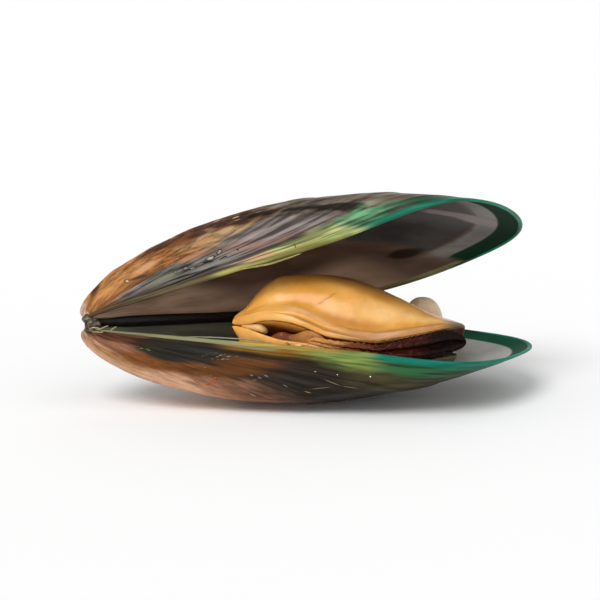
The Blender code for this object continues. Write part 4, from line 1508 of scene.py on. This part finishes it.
    def bulge(self, x: Array, place: Array) -> Array:
        """Soft lumps, fine creases along the rolled edge, small teeth under its rear half, and the nick.

        Args:
            x: Each point's place along the shell.
            place: Each point's place round its section, counted in corners.

        Returns:
            Heights in millimetres.
        """
        lumps = 0.13 * wander(x * 20, place * 0.8, 31) * hump(place, 7.0, 13.0, 1.0)
        waves = 0.05 * wander(x * 30, place * 2, 33) * hump(place, 1.0, 6.0, 1.0)
        creases = 0.025 * wander(x * 12, place * 7, 32) * hump(place, 0.5, 6.5, 0.6)
        teeth = 0.38 * np.abs(np.sin(math.pi * x * 100 / 1.5 + 1.3 * np.sin(61 * x)))
        teeth *= hump(place, 0.7, 2.2, 0.6) * hump(x, 0.62, 0.80, 0.03)
        return lumps + waves + creases - teeth - 0.15 * self.nick(x, place)

    def shares(self, x: Array, place: Array) -> dict[str, Array]:
        """Pink tan along the rolled edge, brown with painted shade behind the crest, painted shade
        underneath and in the valley, crease and nick, a painted highlight on the flank, and dark at the
        rear.

        Args:
            x: Each point's place along the shell.
            place: Each point's place round its section, counted in corners.

        Returns:
            Shares by tint.
        """
        near_crest = 9.1 - 0.5 * ease(x, 0.5, 0.7)
        behind = ease(place, near_crest - 0.7, near_crest + 1.0) * (1 - ease(place, 13.0, 14.0))
        # Brown behind the crest, partly the meat's colour and partly painted shade from the upper valve.
        brown_and_shade = (0.3 * ease(x, 0.36, 0.46) + 0.7 * ease(x, 0.49, 0.57)) * (1 - 0.65 * ease(x, 0.60, 0.74))
        return {
            "rolled_edge": hump(place, 0.8, 6.3, 0.6) * (0.15 + 0.85 * ease(x, 0.52, 0.62)),
            "pale_ridge": peak(place, 5.4, 0.7) * hump(x, 0.45, 0.56, 0.03),
            # Painted shade along the nick's groove.
            "nick": self.nick(x, place),
            # Painted shade along the valley.
            "shaded_valley": peak(place, 6.7, 0.5) * hump(x, 0.53, 0.66, 0.04),
            # Painted shade in the rolled edge's crease.
            "crease_painted_shade": peak(place, 3.0, 0.5) * hump(x, 0.46, 0.585, 0.04),
            "back": behind * brown_and_shade,
            # A painted highlight on the near flank.
            "painted_highlight_flank": 0.7 * hump(place, 7.2, 8.5, 0.7) * ease(x, 0.56, 0.66),
            # Painted shade under the lobe and inside the mouth.
            "shaded_underside": np.maximum(hump(place, 13.8, 17.4, 0.5), 1 - ease(place, 0.0, 0.9)),
            "rear_rim": ease(x, 0.782, 0.832) * hump(place, 0.0, 9.0, 0.8),
        }


@dataclass(kw_only=True)
class LowerLobe(Organ):
    """Lower lobe of the mantle: it lines the valve and makes the lower lip of the opening."""

    floor: Floor
    name: str = "mantle_lower_flesh"
    node: str = "mantle_lower_lobe"
    slot: str = "mantle"
    finish: CookedFlesh = ORANGE_FLESH
    tips: tuple = ((0.3300, -0.053, 0.0280), (0.832, -0.040, -0.020))
    sections: int = 120
    spans: tuple[int, ...] = (8, 8, 8, 8, 8, 6, 6, 4, 6, 6, 6, 6, 4, 4)
    bluntness: float = 7.0
    stations: tuple = (0.332, 0.345, 0.369, 0.400, 0.430, 0.480, 0.530, 0.600, 0.700, 0.770, 0.825)
    lip_y: tuple = (-0.050, -0.060, -0.074, -0.091, -0.105, -0.121, -0.131, -0.135, -0.110, -0.085, -0.060)
    lip_z: tuple = (0.0302, 0.0288, 0.0240, 0.0175, 0.0122, 0.008, 0.005, -0.010, -0.020, -0.024, -0.024)
    far_y: tuple = (0.000, 0.020, 0.060, 0.095, 0.125, 0.150, 0.165, 0.154, 0.088, 0.072, 0.020)
    trough: tuple = (0.012, 0.000, -0.018, -0.024, -0.026, -0.025, -0.024, -0.024, -0.026, -0.028, -0.028)
    lip_width: float = 0.022
    top: float = -0.016
    gap: float = 0.3 * MM
    steepest: float = 0.35
    front_length: float = 0.016
    front_height: float = 0.040

    def drop(self, x: float) -> float:
        """How far below its lip the lobe reaches: little at its front, then past the valve's inside."""
        share = max(x - self.tips[0][0], 0.0) / self.front_length
        return self.front_height * math.sqrt(1 - (1 - min(share, 1.0)) ** 2) + 0.25 * max(share - 1, 0.0)

    def corners(self, x: float) -> Array:
        """The lip, the trough behind it, the top, and the bed in the valve."""
        lip_y, lip_z, far_y, trough = self.read(x, self.lip_y, self.lip_z, self.far_y, self.trough)
        width = self.lip_width
        lowest = lip_z - self.drop(x)
        bed = [mix(far_y, lip_y, share) for share in (0.08, 0.28, 0.50, 0.72, 0.92, 1.0)]
        return np.array(
            [
                (lip_y - 0.06 * width, lip_z - 0.45 * width),
                (lip_y + 0.28 * width, lip_z),
                (lip_y + 0.90 * width, mix(lip_z, trough, 0.40)),
                (lip_y + 1.50 * width, trough),
                (mix(lip_y, far_y, 0.38), mix(trough, self.top, 0.8)),
                (mix(lip_y, far_y, 0.60), self.top),
                (mix(lip_y, far_y, 0.86), self.top),
                (far_y, self.top - 0.010),
                *((y, max(self.floor.height(x, y, self.gap, self.steepest), lowest)) for y in bed),
            ]
        )

    def held(self, rows: Array) -> Array:
        """The rows, raised where they must be to clear the valve's inside."""
        for point in rows.reshape(-1, 3):
            x, y = point[:2] / SHELL_LENGTH
            point[2] = max(point[2], self.floor.height(x, y, self.gap, self.steepest) * SHELL_LENGTH)
        return rows

    def bulge(self, x: Array, place: Array) -> Array:
        """Soft lumps and fine creases along the lip, in millimetres."""
        lumps = 0.10 * wander(x * 30, place * 1.5, 41) + 0.04 * wander(x * 16, place * 8, 42)
        return lumps * hump(place, -1, 8, 1.0)

    def shares(self, x: Array, place: Array) -> dict[str, Array]:
        """Pink tan on the lip, painted shade in the trough and over the top, darker at the rear."""
        return {
            "rolled_edge": hump(place, 0.0, 1.6, 0.5) * ease(x, 0.40, 0.55) * 0.6,
            # Painted shade in the trough and over the top, under the upper lobe.
            "shaded_underside": hump(place, 2.0, 7.0, 0.5),
            "rear_foot": ease(x, 0.69, 0.75),
        }


@dataclass(kw_only=True)
class Frill(Organ):
    """Frilled mantle edge: two dark ruffled layers that step out from under the upper lobe."""

    lobe: UpperLobe
    name: str = "mantle_frill_flesh"
    node: str = "mantle_frill"
    slot: str = "frill"
    finish: CookedFlesh = MAROON_FRILL
    tips: tuple = ((0.505, -0.124, 0.010), (0.850, -0.084, 0.014))
    sections: int = 420
    spans: tuple[int, ...] = (4, 4, 5, 8, 8, 8, 8, 8, 8, 6, 4, 4)
    stations: tuple = (0.500, 0.560, 0.600, 0.700, 0.780, 0.845)
    out_y: tuple = (-0.130, -0.142, -0.150, -0.163, -0.156, -0.108)
    root_y: tuple = (-0.112, -0.108, -0.098, -0.097, -0.080, -0.040)
    floor_z: tuple = (0.004, -0.003, -0.008, -0.014, -0.012, -0.004)
    scallop_mm: float = 1.45
    scallop_height: float = 0.0020
    overlap: float = 0.0018

    def corners(self, x: float) -> Array:
        """The root under the lobe, the scalloped upper layer, the groove and the lower layer."""
        edge_y, edge_z = self.lobe.read(x, self.lobe.edge_y, self.lobe.edge_z)
        out_y, root_y, floor = self.read(x, self.out_y, self.root_y, self.floor_z)
        under = edge_z - 0.003
        height = under - floor
        wave = math.sin(math.tau * x * SHELL_LENGTH / (self.scallop_mm * MM) + 1.3 * math.sin(61 * x))
        proud = float(ease(x, 0.57, 0.66))
        crest = under + 0.003 + proud * self.overlap + self.scallop_height * wave * (0.3 + 0.7 * proud)
        return np.array(
            [
                (root_y, mix(under, floor, 0.45)),
                (mix(edge_y, root_y, 0.2), under),
                (edge_y - 0.0035, under + 0.002),
                (edge_y - 0.0060, crest),
                (edge_y - 0.0110, mix(under, floor, 0.10)),
                (mix(edge_y, out_y, 0.30) - 0.006, mix(under, floor, 0.34)),
                (mix(edge_y, out_y, 0.25), mix(under, floor, 0.50)),
                (mix(edge_y, out_y, 0.85), mix(under, floor, 0.62)),
                (out_y, mix(under, floor, 0.80)),
                (mix(edge_y, out_y, 0.80), floor),
                (mix(edge_y, root_y, 0.3), floor - 0.05 * height),
                (root_y, floor),
            ]
        )

    def papillae(self, x: Array, place: Array) -> Array:
        """Noise of small papillae, one every 0.4 mm."""
        return wander(x * 100 / 0.42, place * 3.2, 51)

    def bulge(self, x: Array, place: Array) -> Array:
        """Ruffles across both layers, thin sheets and a grain of small papillae.

        Args:
            x: Each point's place along the shell.
            place: Each point's place round its section, counted in corners.

        Returns:
            Heights in millimetres.
        """
        ruffle = 0.06 * np.sin(math.tau * x * 100 / 2.1 + 2.5 * np.sin(place)) * hump(place, 3.5, 9.0, 0.6)
        grain = 0.13 * self.papillae(x, place) * hump(place, 2.5, 9.5, 0.5)
        sheets = np.cos(math.tau * 1.6 * (place + 0.25 * wander(x * 22, place * 0.7, 56)))
        sheets = -0.16 * ease(sheets, 0.2, 1.0) * hump(place, 3.2, 9.2, 0.4)
        return ruffle + grain + sheets + 0.12 * wander(x * 45, place, 52)

    def shares(self, x: Array, place: Array) -> dict[str, Array]:
        """Tan at the front end, where the frill starts as a brown fuzz, and lighter papillae.

        Args:
            x: Each point's place along the shell.
            place: Each point's place round its section, counted in corners.

        Returns:
            Shares by tint.
        """
        fuzz = 0.5 + 0.5 * self.papillae(x, place)
        frayed = x + 0.03 * wander(x * 60, place * 2, 53) + 0.02 * (fuzz - 0.5)
        return {
            "papillae": ease(fuzz, 0.55, 0.85) * (0.35 + 0.65 * hump(x, 0.5, 0.70, 0.05)),
            "brown_fuzz": 1 - ease(frayed, 0.59, 0.68),
            "fuzzy_start": 1 - ease(frayed, 0.54, 0.60),
            "dark_end": ease(frayed, 0.72, 0.80),
        }


@dataclass(kw_only=True)
class Gills(Organ):
    """Gills in the opening: a rounded fold of fine sheets that leans back between the lobes."""

    lower: LowerLobe
    name: str = "gill_folds"
    node: str = "gills"
    slot: str = "gill"
    finish: CookedFlesh = TAN_GILLS
    tips: tuple = ((0.408, -0.070, 0.004), (0.556, -0.110, 0.002))
    sections: int = 120
    spans: tuple[int, ...] = (16, 16, 14, 8, 8, 8)
    stations: tuple = (0.412, 0.428, 0.446, 0.462, 0.476, 0.500, 0.522, 0.548)
    near_y: tuple = (-0.070, -0.078, -0.083, -0.082, -0.094, -0.110, -0.118, -0.122)
    top_z: tuple = (0.010, 0.019, 0.023, 0.018, 0.022, 0.033, 0.031, 0.016)
    depth: float = 0.045
    base_rise: float = 0.008

    def corners(self, x: float) -> Array:
        """The rounded near side, the top, and the base in the lower lobe's trough."""
        near, top = self.read(x, self.near_y, self.top_z)
        floor = self.lower.read(x, self.lower.trough)[0] + self.base_rise
        return np.array(
            [
                (near, mix(floor, top, 0.55)),
                (near + 0.008, top),
                (near + 0.45 * self.depth, mix(floor, top, 0.80)),
                (near + self.depth, mix(floor, top, 0.45)),
                (near + 0.70 * self.depth, floor),
                (near + 0.30 * self.depth, floor),
            ]
        )

    def bulge(self, x: Array, place: Array) -> Array:
        """Fine sheets side by side, in two soft rolls, in millimetres."""
        sheets = 0.03 * np.sin(math.tau * x * 100 / 0.55 + 3 * np.sin(place * 1.1))
        return sheets + 0.12 * wander(x * 70, place * 1.6, 54)

    def shares(self, x: Array, place: Array) -> dict[str, Array]:
        """Pink on the first curl, brown specks at the foot of the hump."""
        specks = 0.5 + 0.5 * wander(x * 100 / 0.40, place * 3.5, 55)
        specks = ease(specks, 0.3, 0.8) * ease(x, 0.47, 0.53) * (1 - hump(place, 0.6, 2.5, 0.6))
        return {"pink_curl": 1 - ease(x, 0.452, 0.480), "brown_specks": specks}


@dataclass
class Foot(Organ):
    """Foot: a whitish tongue in the near corner of the opening, with its groove."""

    name: str = "foot_tongue"
    node: str = "foot"
    slot: str = "foot"
    finish: CookedFlesh = PALE_FOOT
    tips: tuple = ((0.350, -0.047, 0.0275), (0.411, -0.052, 0.018))
    sections: int = 60
    spans: tuple[int, ...] = (8,) * 8
    stations: tuple = (0.356, 0.375, 0.395, 0.415)
    middle_y: tuple = (-0.050, -0.056, -0.062, -0.056)
    middle_z: tuple = (0.028, 0.028, 0.027, 0.020)
    half_y: tuple = (0.007, 0.011, 0.012, 0.012)
    half_z: tuple = (0.004, 0.0075, 0.010, 0.009)

    def corners(self, x: float) -> Array:
        """An oval."""
        middle_y, middle_z = self.read(x, self.middle_y, self.middle_z)
        half_y, half_z = self.read(x, self.half_y, self.half_z)
        turn = turns(len(self.spans))
        return np.column_stack([middle_y + half_y * np.cos(turn), middle_z + half_z * np.sin(turn)])

    def bulge(self, x: Array, place: Array) -> Array:
        """The groove along the tongue and soft cross wrinkles, in millimetres."""
        return 0.05 * wander(x * 120, place, 61) - 0.05 * peak(place, 4.4, 0.35)


@dataclass
class Muscle:
    """Adductor muscle: a round-topped pad behind the meat, leaning on it, on a wider foot."""

    floor: Floor
    finish: CookedFlesh = TAN_MUSCLE
    middle: tuple[float, float] = (0.756, 0.134)
    half: tuple[float, float] = (0.046, 0.034)
    top: float = 0.082
    lean: float = 0.16
    flare: float = 0.30
    gap: float = 0.2 * MM
    rings: int = 70
    points: int = 90

    def build(self) -> None:
        """Builds the muscle from its top down to the valve's inside."""
        turn = turns(self.points)
        rows = []
        for step in np.linspace(0.004, 1, self.rings):
            size = math.sin(math.pi / 2 * min(step * 1.4, 1)) ** 0.8 + self.flare * step**4
            sunk = 1 - math.cos(math.pi / 2 * step)
            x = self.middle[0] + self.half[0] * size * np.cos(turn)
            y = self.middle[1] + self.half[1] * size * np.sin(turn) - self.lean * self.top * (1 - sunk)
            z = [mix(self.top, self.floor.height(a, b, self.gap), sunk) for a, b in zip(x, y)]
            rows.append(np.column_stack([x, y, z]))
        rows = np.array(rows) * SHELL_LENGTH
        step, turn = np.meshgrid(np.linspace(0, 1, self.rings), turn, indexing="ij")
        fibres = 0.05 * wander(turn / math.tau * 40, step * 2, 71, 40)
        fibres += 0.10 * wander(turn * 1.5, step * 3, 72)
        away = unit(rows - rows.mean(axis=1, keepdims=True))
        rows = rows + away * (fibres * ease(step, 0.05, 0.3) * MM)[:, :, None]
        flesh = np.stack([turn * 3, turn * 0, step * 12], axis=2)
        loft("adductor_muscle_pad", rows, self.finish, "muscle", "adductor_muscle", flesh=flesh)


# The hinge and what sticks to the shell


@dataclass
class Ligament:
    """The horny band between the valves' hinge edges, from the beak to the ligament's rear end."""

    # Its near-black tones are the ligament's dark horn plus painted shade of the hinge gap.
    finish: DryHorn = DryHorn("ligament_dark_and_shaded", "#070301", "#150c06", (8.0, 0.5, 0.5))
    lip_samples: int = 832
    reach: float = 0.43
    width: float = 0.024
    stations: int = 120
    gap: float = 0.3 * MM

    def build(self) -> None:
        """Builds the band between the two valves."""
        lip = LAW.lip(self.lip_samples)
        hinge_side = lip[len(lip) // 2 :][::-1]
        hinge_side = hinge_side[hinge_side[:, 0] < self.reach * SHELL_LENGTH]
        picks = np.linspace(0, len(hinge_side) - 1, self.stations).astype(int)
        opened = np.array(LIE.opened())
        inward = np.array([math.sin(LIE.hinge_heading), -math.cos(LIE.hinge_heading), 0])
        gap = np.array([0, 0, self.gap])
        rows = []
        for share, pick in zip(np.linspace(0, 1, len(picks)), picks):
            x, y = hinge_side[pick]
            edge = np.array([x, y, LAW.rise(x)])
            narrowing = mix(0.25, 1.0, float(ease(share, 0.05, 0.55)))
            rounding = math.sin(math.pi * (0.1 + 0.9 * share)) ** 0.5 if share < 0.98 else 0.3
            spread = inward * self.width * SHELL_LENGTH * narrowing * rounding
            places = [edge + spread * out for out in np.linspace(-0.1, 1.0, 8)]
            lower = [place + gap for place in places]
            mirrored = [place * np.array([1, 1, -1]) - gap for place in places]
            upper = [opened[:3, :3] @ place + opened[:3, 3] for place in mirrored]
            front = [
                mix(lower[-1], upper[-1], step) + spread * 0.3 * math.sin(math.pi * step)
                for step in (0.2, 0.4, 0.6, 0.8)
            ]
            back = [mix(upper[0], lower[0], step) for step in (0.25, 0.5, 0.75)]
            rows.append(lower + front + upper[::-1] + back)
        loft("hinge_ligament_band", np.array(rows), self.finish, "horn", "hinge_ligament")


@dataclass
class Splinter:
    """A thin strip of lime split off a valve's lip, drawn from its held end to its free end.

    Its paths are in millimetres: how far it lies in from the lip's outer edge, and how far above the lip.
    """

    name: str
    side: Side
    finish: DryHorn
    places: tuple[float, float]
    inset: tuple[float, ...]
    rise: tuple[float, ...]
    half: tuple[float, float]
    stations: int = 90
    points: int = 12

    def build(self) -> None:
        """Builds the strip as a flat tapered rod along the lip."""
        lip = LAW.lip(LIP_SAMPLES)
        shares = np.linspace(0, 1, self.stations)
        knots = np.linspace(0, 1, len(self.inset))
        turn = turns(self.points)
        rows = []
        insets, rises = along(knots, self.inset, shares), along(knots, self.rise, shares)
        for share, inset, rise in zip(shares, insets, rises):
            pick = int(mix(*self.places, share) * LIP_SAMPLES)
            inward = np.append(unit(np.array(LAW.middle) * SHELL_LENGTH - lip[pick]), 0.0)
            middle = np.append(LAW.inset(lip, inset * MM)[pick], rise * MM)
            size = math.sin(math.pi * min(max(share, 0.01), 0.99)) ** 0.4 * MM
            across = np.outer(np.cos(turn) * self.half[0] * size, inward)
            up = np.outer(np.sin(turn) * self.half[1] * size, (0, 0, 1))
            rows.append(middle + across + up)
        loft(self.name, np.array(rows), self.finish, "shell", side=self.side)


@dataclass
class Crust:
    """Dried crust round the beaks: crumbly lumps, as middle, radius and flatness in millimetres."""

    finish: DryHorn = DryHorn("beak_crust", "#3a2c20", "#8f7d68", (0.7, 0.7, 0.7))
    lumps: tuple = (
        ((-0.4, -0.7, 2.6), 1.30, 0.80),
        ((0.9, -1.2, 1.9), 1.25, 0.75),
        ((2.0, -1.6, 1.7), 0.80, 0.90),
        ((0.2, -0.8, 1.0), 1.10, 0.60),
        ((-0.1, -0.6, 0.1), 1.00, 0.70),
        ((1.1, -1.3, 0.2), 0.90, 0.60),
        ((2.2, -1.6, 0.6), 0.60, 0.60),
        ((1.4, -0.2, 1.1), 1.30, 0.80),
    )
    rings: int = 26
    points: int = 34
    pole: float = 0.05

    def build(self) -> None:
        """Builds every lump as a ball with crumbs on it."""
        rises = np.linspace(self.pole, math.pi - self.pole, self.rings)
        rise, turn = np.meshgrid(rises, turns(self.points), indexing="ij")
        ball = np.stack([np.cos(turn) * np.sin(rise), np.sin(turn) * np.sin(rise), np.cos(rise)], axis=2)
        down = np.broadcast_to(np.linspace(0, 1, self.rings)[:, None], turn.shape)
        for number, (middle, radius, flatness) in enumerate(self.lumps, 1):
            crumbs = 1 + 0.20 * wander(turn / math.tau * 6, down * 4, 80 + number, 6)
            crumbs += 0.10 * wander(turn / math.tau * 14, down * 9, 90 + number, 14)
            rows = ball * crumbs[:, :, None] * np.array([1, 1, flatness]) * radius + np.array(middle)
            loft(f"beak_crust_{number}", rows * MM, self.finish, "horn")


@dataclass
class Threads:
    """Dry byssus threads that stick out between the beaks: paths in millimetres, thin and pale."""

    finish: DryHorn = DryHorn("dry_byssus", "#8f8558", "#c9c193", (3.0, 0.2, 0.2))
    paths: tuple = (
        ((1.6, -1.9, 0.6), (2.4, -2.2, 0.5), (3.5, -2.4, 1.0), (4.7, -2.3, 1.5)),
        ((3.2, -1.8, 0.2), (4.6, -2.3, 0.1), (5.6, -2.2, 0.7), (6.5, -2.0, 1.3)),
        ((0.2, -1.7, 0.5), (1.2, -2.2, 0.9), (2.3, -2.4, 0.9), (3.0, -2.3, 0.5)),
        ((1.0, -2.0, -0.2), (1.9, -2.3, 0.0), (2.8, -2.2, -0.1), (3.6, -2.2, 0.1)),
    )
    radius: float = 0.17
    stations: int = 40
    points: int = 10

    def build(self) -> None:
        """Builds every thread as a thin round rod."""
        turn = turns(self.points)[:, None]
        size = self.radius * np.sin(np.pi * np.linspace(0.03, 0.97, self.stations)) ** 0.35
        for number, path in enumerate(self.paths, 1):
            line = spline(np.linspace(0, 1, len(path)), np.array(path), np.linspace(0, 1, self.stations))
            forward = unit(np.gradient(line, axis=0))
            side = unit(np.cross(forward, (0, 0, 1)))
            up = np.cross(side, forward)
            around = side[:, None] * np.cos(turn) + up[:, None] * np.sin(turn)
            rows = line[:, None] + size[:, None, None] * around
            loft(f"byssus_thread_{number}", rows * MM, self.finish, "horn")


# The studio


def direction(heading: float, height: float) -> Vector:
    """The unit vector this far round from +X towards +Y, and this high, in radians."""
    level = math.cos(height)
    return Vector((math.cos(heading) * level, math.sin(heading) * level, math.sin(height)))


@dataclass(frozen=True)
class Studio:
    """Pale floor, soft lights, and the camera at the photograph's angle on the shell."""

    turn: float = 0.0508
    rise: float = 0.1744
    roll: float = -0.0248
    distance: float = 0.36437
    aim: tuple[float, float, float] = (0.05, 0.0, 0.0)
    lens: float = 96.77
    sensor: float = 36.0
    nearest: float = 0.01
    shift: tuple[float, float] = (-0.01517, 0.0619)
    walls: float = 1.06
    ceiling: float = 0.45
    floor_half: float = 60.0

    def camera(self) -> None:
        """Places the camera in the shell's own frame, then lays it down with the shell."""
        back = direction(self.turn - math.pi / 2, self.rise)
        right = (-back).cross(Vector((0, 0, 1))).normalized()
        up = right.cross(-back)
        level = right * math.cos(self.roll) - up * math.sin(self.roll)
        upright = right * math.sin(self.roll) + up * math.cos(self.roll)
        where = Matrix.Translation(Vector(self.aim) + back * self.distance)
        data = bpy.data.cameras.new("camera")
        data.lens, data.sensor_width, data.clip_start = self.lens, self.sensor, self.nearest
        data.shift_x, data.shift_y = self.shift
        camera = put("camera", data)
        camera.matrix_world = LIE.lying() @ where @ Matrix((level, upright, back)).transposed().to_4x4()
        bpy.context.scene.camera = camera

    def sun(self, name: str, heading: float, height: float, power: float, softness: float) -> None:
        """A soft distant light.

        Args:
            name: The light's name.
            heading: Where it stands, in degrees from +X towards +Y.
            height: How high it stands, in degrees.
            power: Its strength.
            softness: Its apparent width in degrees.
        """
        data = bpy.data.lights.new(name, "SUN")
        data.energy, data.angle = power, math.radians(softness)
        towards = direction(math.radians(heading), math.radians(height))
        put(name, data).rotation_euler = towards.to_track_quat("Z", "Y").to_euler()

    def surroundings(self) -> None:
        """A studio dome: white walls to just above the horizon, and a dimmer ceiling."""
        world = bpy.data.worlds.new("surroundings")
        bpy.context.scene.world = world
        world.use_nodes = True
        tree = world.node_tree
        height = add(tree, SPLIT, {0: add(tree, "ShaderNodeTexCoord", {}, "Generated")}, 2)
        strength = add(tree, RANGE, {0: height, 1: 0.10, 2: 0.45, 3: self.walls, 4: self.ceiling}, **SMOOTH)
        fill(tree, tree.nodes["Background"], {"Strength": strength, "Color": linear("#ffffff")})

    def floor(self) -> None:
        """A wide pale floor of matt white card, in the plane that the shell rests on."""
        half = self.floor_half
        mesh = bpy.data.meshes.new("floor")
        corners = [(-half, -half, 0), (half, -half, 0), (half, half, 0), (-half, half, 0)]
        mesh.from_pydata(corners, [], [(0, 1, 2, 3)])
        material, tree, shader = blank("floor_white")
        fill(tree, shader, {"Base Color": linear("#ffffff"), "Roughness": 0.9, "Specular IOR Level": 0.0})
        mesh.materials.append(material)
        floor = put("floor", mesh)

    def build(self) -> None:
        """Sets up the camera, the lights, the floor and the surroundings."""
        bpy.context.scene.view_settings.view_transform = "Standard"
        self.surroundings()
        self.sun("key", -115.0, 52.0, 1.7, 35.0)
        self.sun("fill", -30.0, 40.0, 0.35, 60.0)
        self.camera()
        self.floor()


def main() -> None:
    """Builds the studio, the valves, the hinge and the meat."""
    logging.basicConfig(level=logging.INFO, format="%(message)s")
    Studio().build()
    floor = Floor(Valve(Side.LOWER, LOWER_OUTSIDE, LOWER_INSIDE, seed=11).build())
    Valve(Side.UPPER, UPPER_OUTSIDE, UPPER_INSIDE, seed=23).build()
    Ligament().build()
    Crust().build()
    Threads().build()
    Splinter(
        name="upper_lip_splinter",
        side=Side.UPPER,
        finish=DryHorn("peeled_lip", "#857d45", "#b9b27c", (6.0, 0.3, 0.3)),
        places=(0.196, 0.252),
        inset=(0.3, 0.2, 0.1, 0.3, 0.6),
        rise=(0.1, 0.5, 0.9, 0.8, 0.5),
        half=(0.30, 0.24),
    ).build()
    Splinter(
        name="lower_lip_splinter",
        side=Side.LOWER,
        finish=DryHorn("lower_inner_lip", "#8d9276", "#b9bd9d", (6.0, 0.3, 0.3)),
        places=(0.135, 0.215),
        inset=(0.5, 1.2, 1.6, 1.9, 1.6),
        rise=(0.1, 0.45, 0.6, 0.6, 0.3),
        half=(0.30, 0.16),
    ).build()
    upper_lobe = UpperLobe().build()
    lower_lobe = LowerLobe(floor=floor).build()
    Frill(lobe=upper_lobe).build()
    Gills(lower=lower_lobe).build()
    Foot().build()
    Muscle(floor).build()


if __name__ == "__main__":
    main()
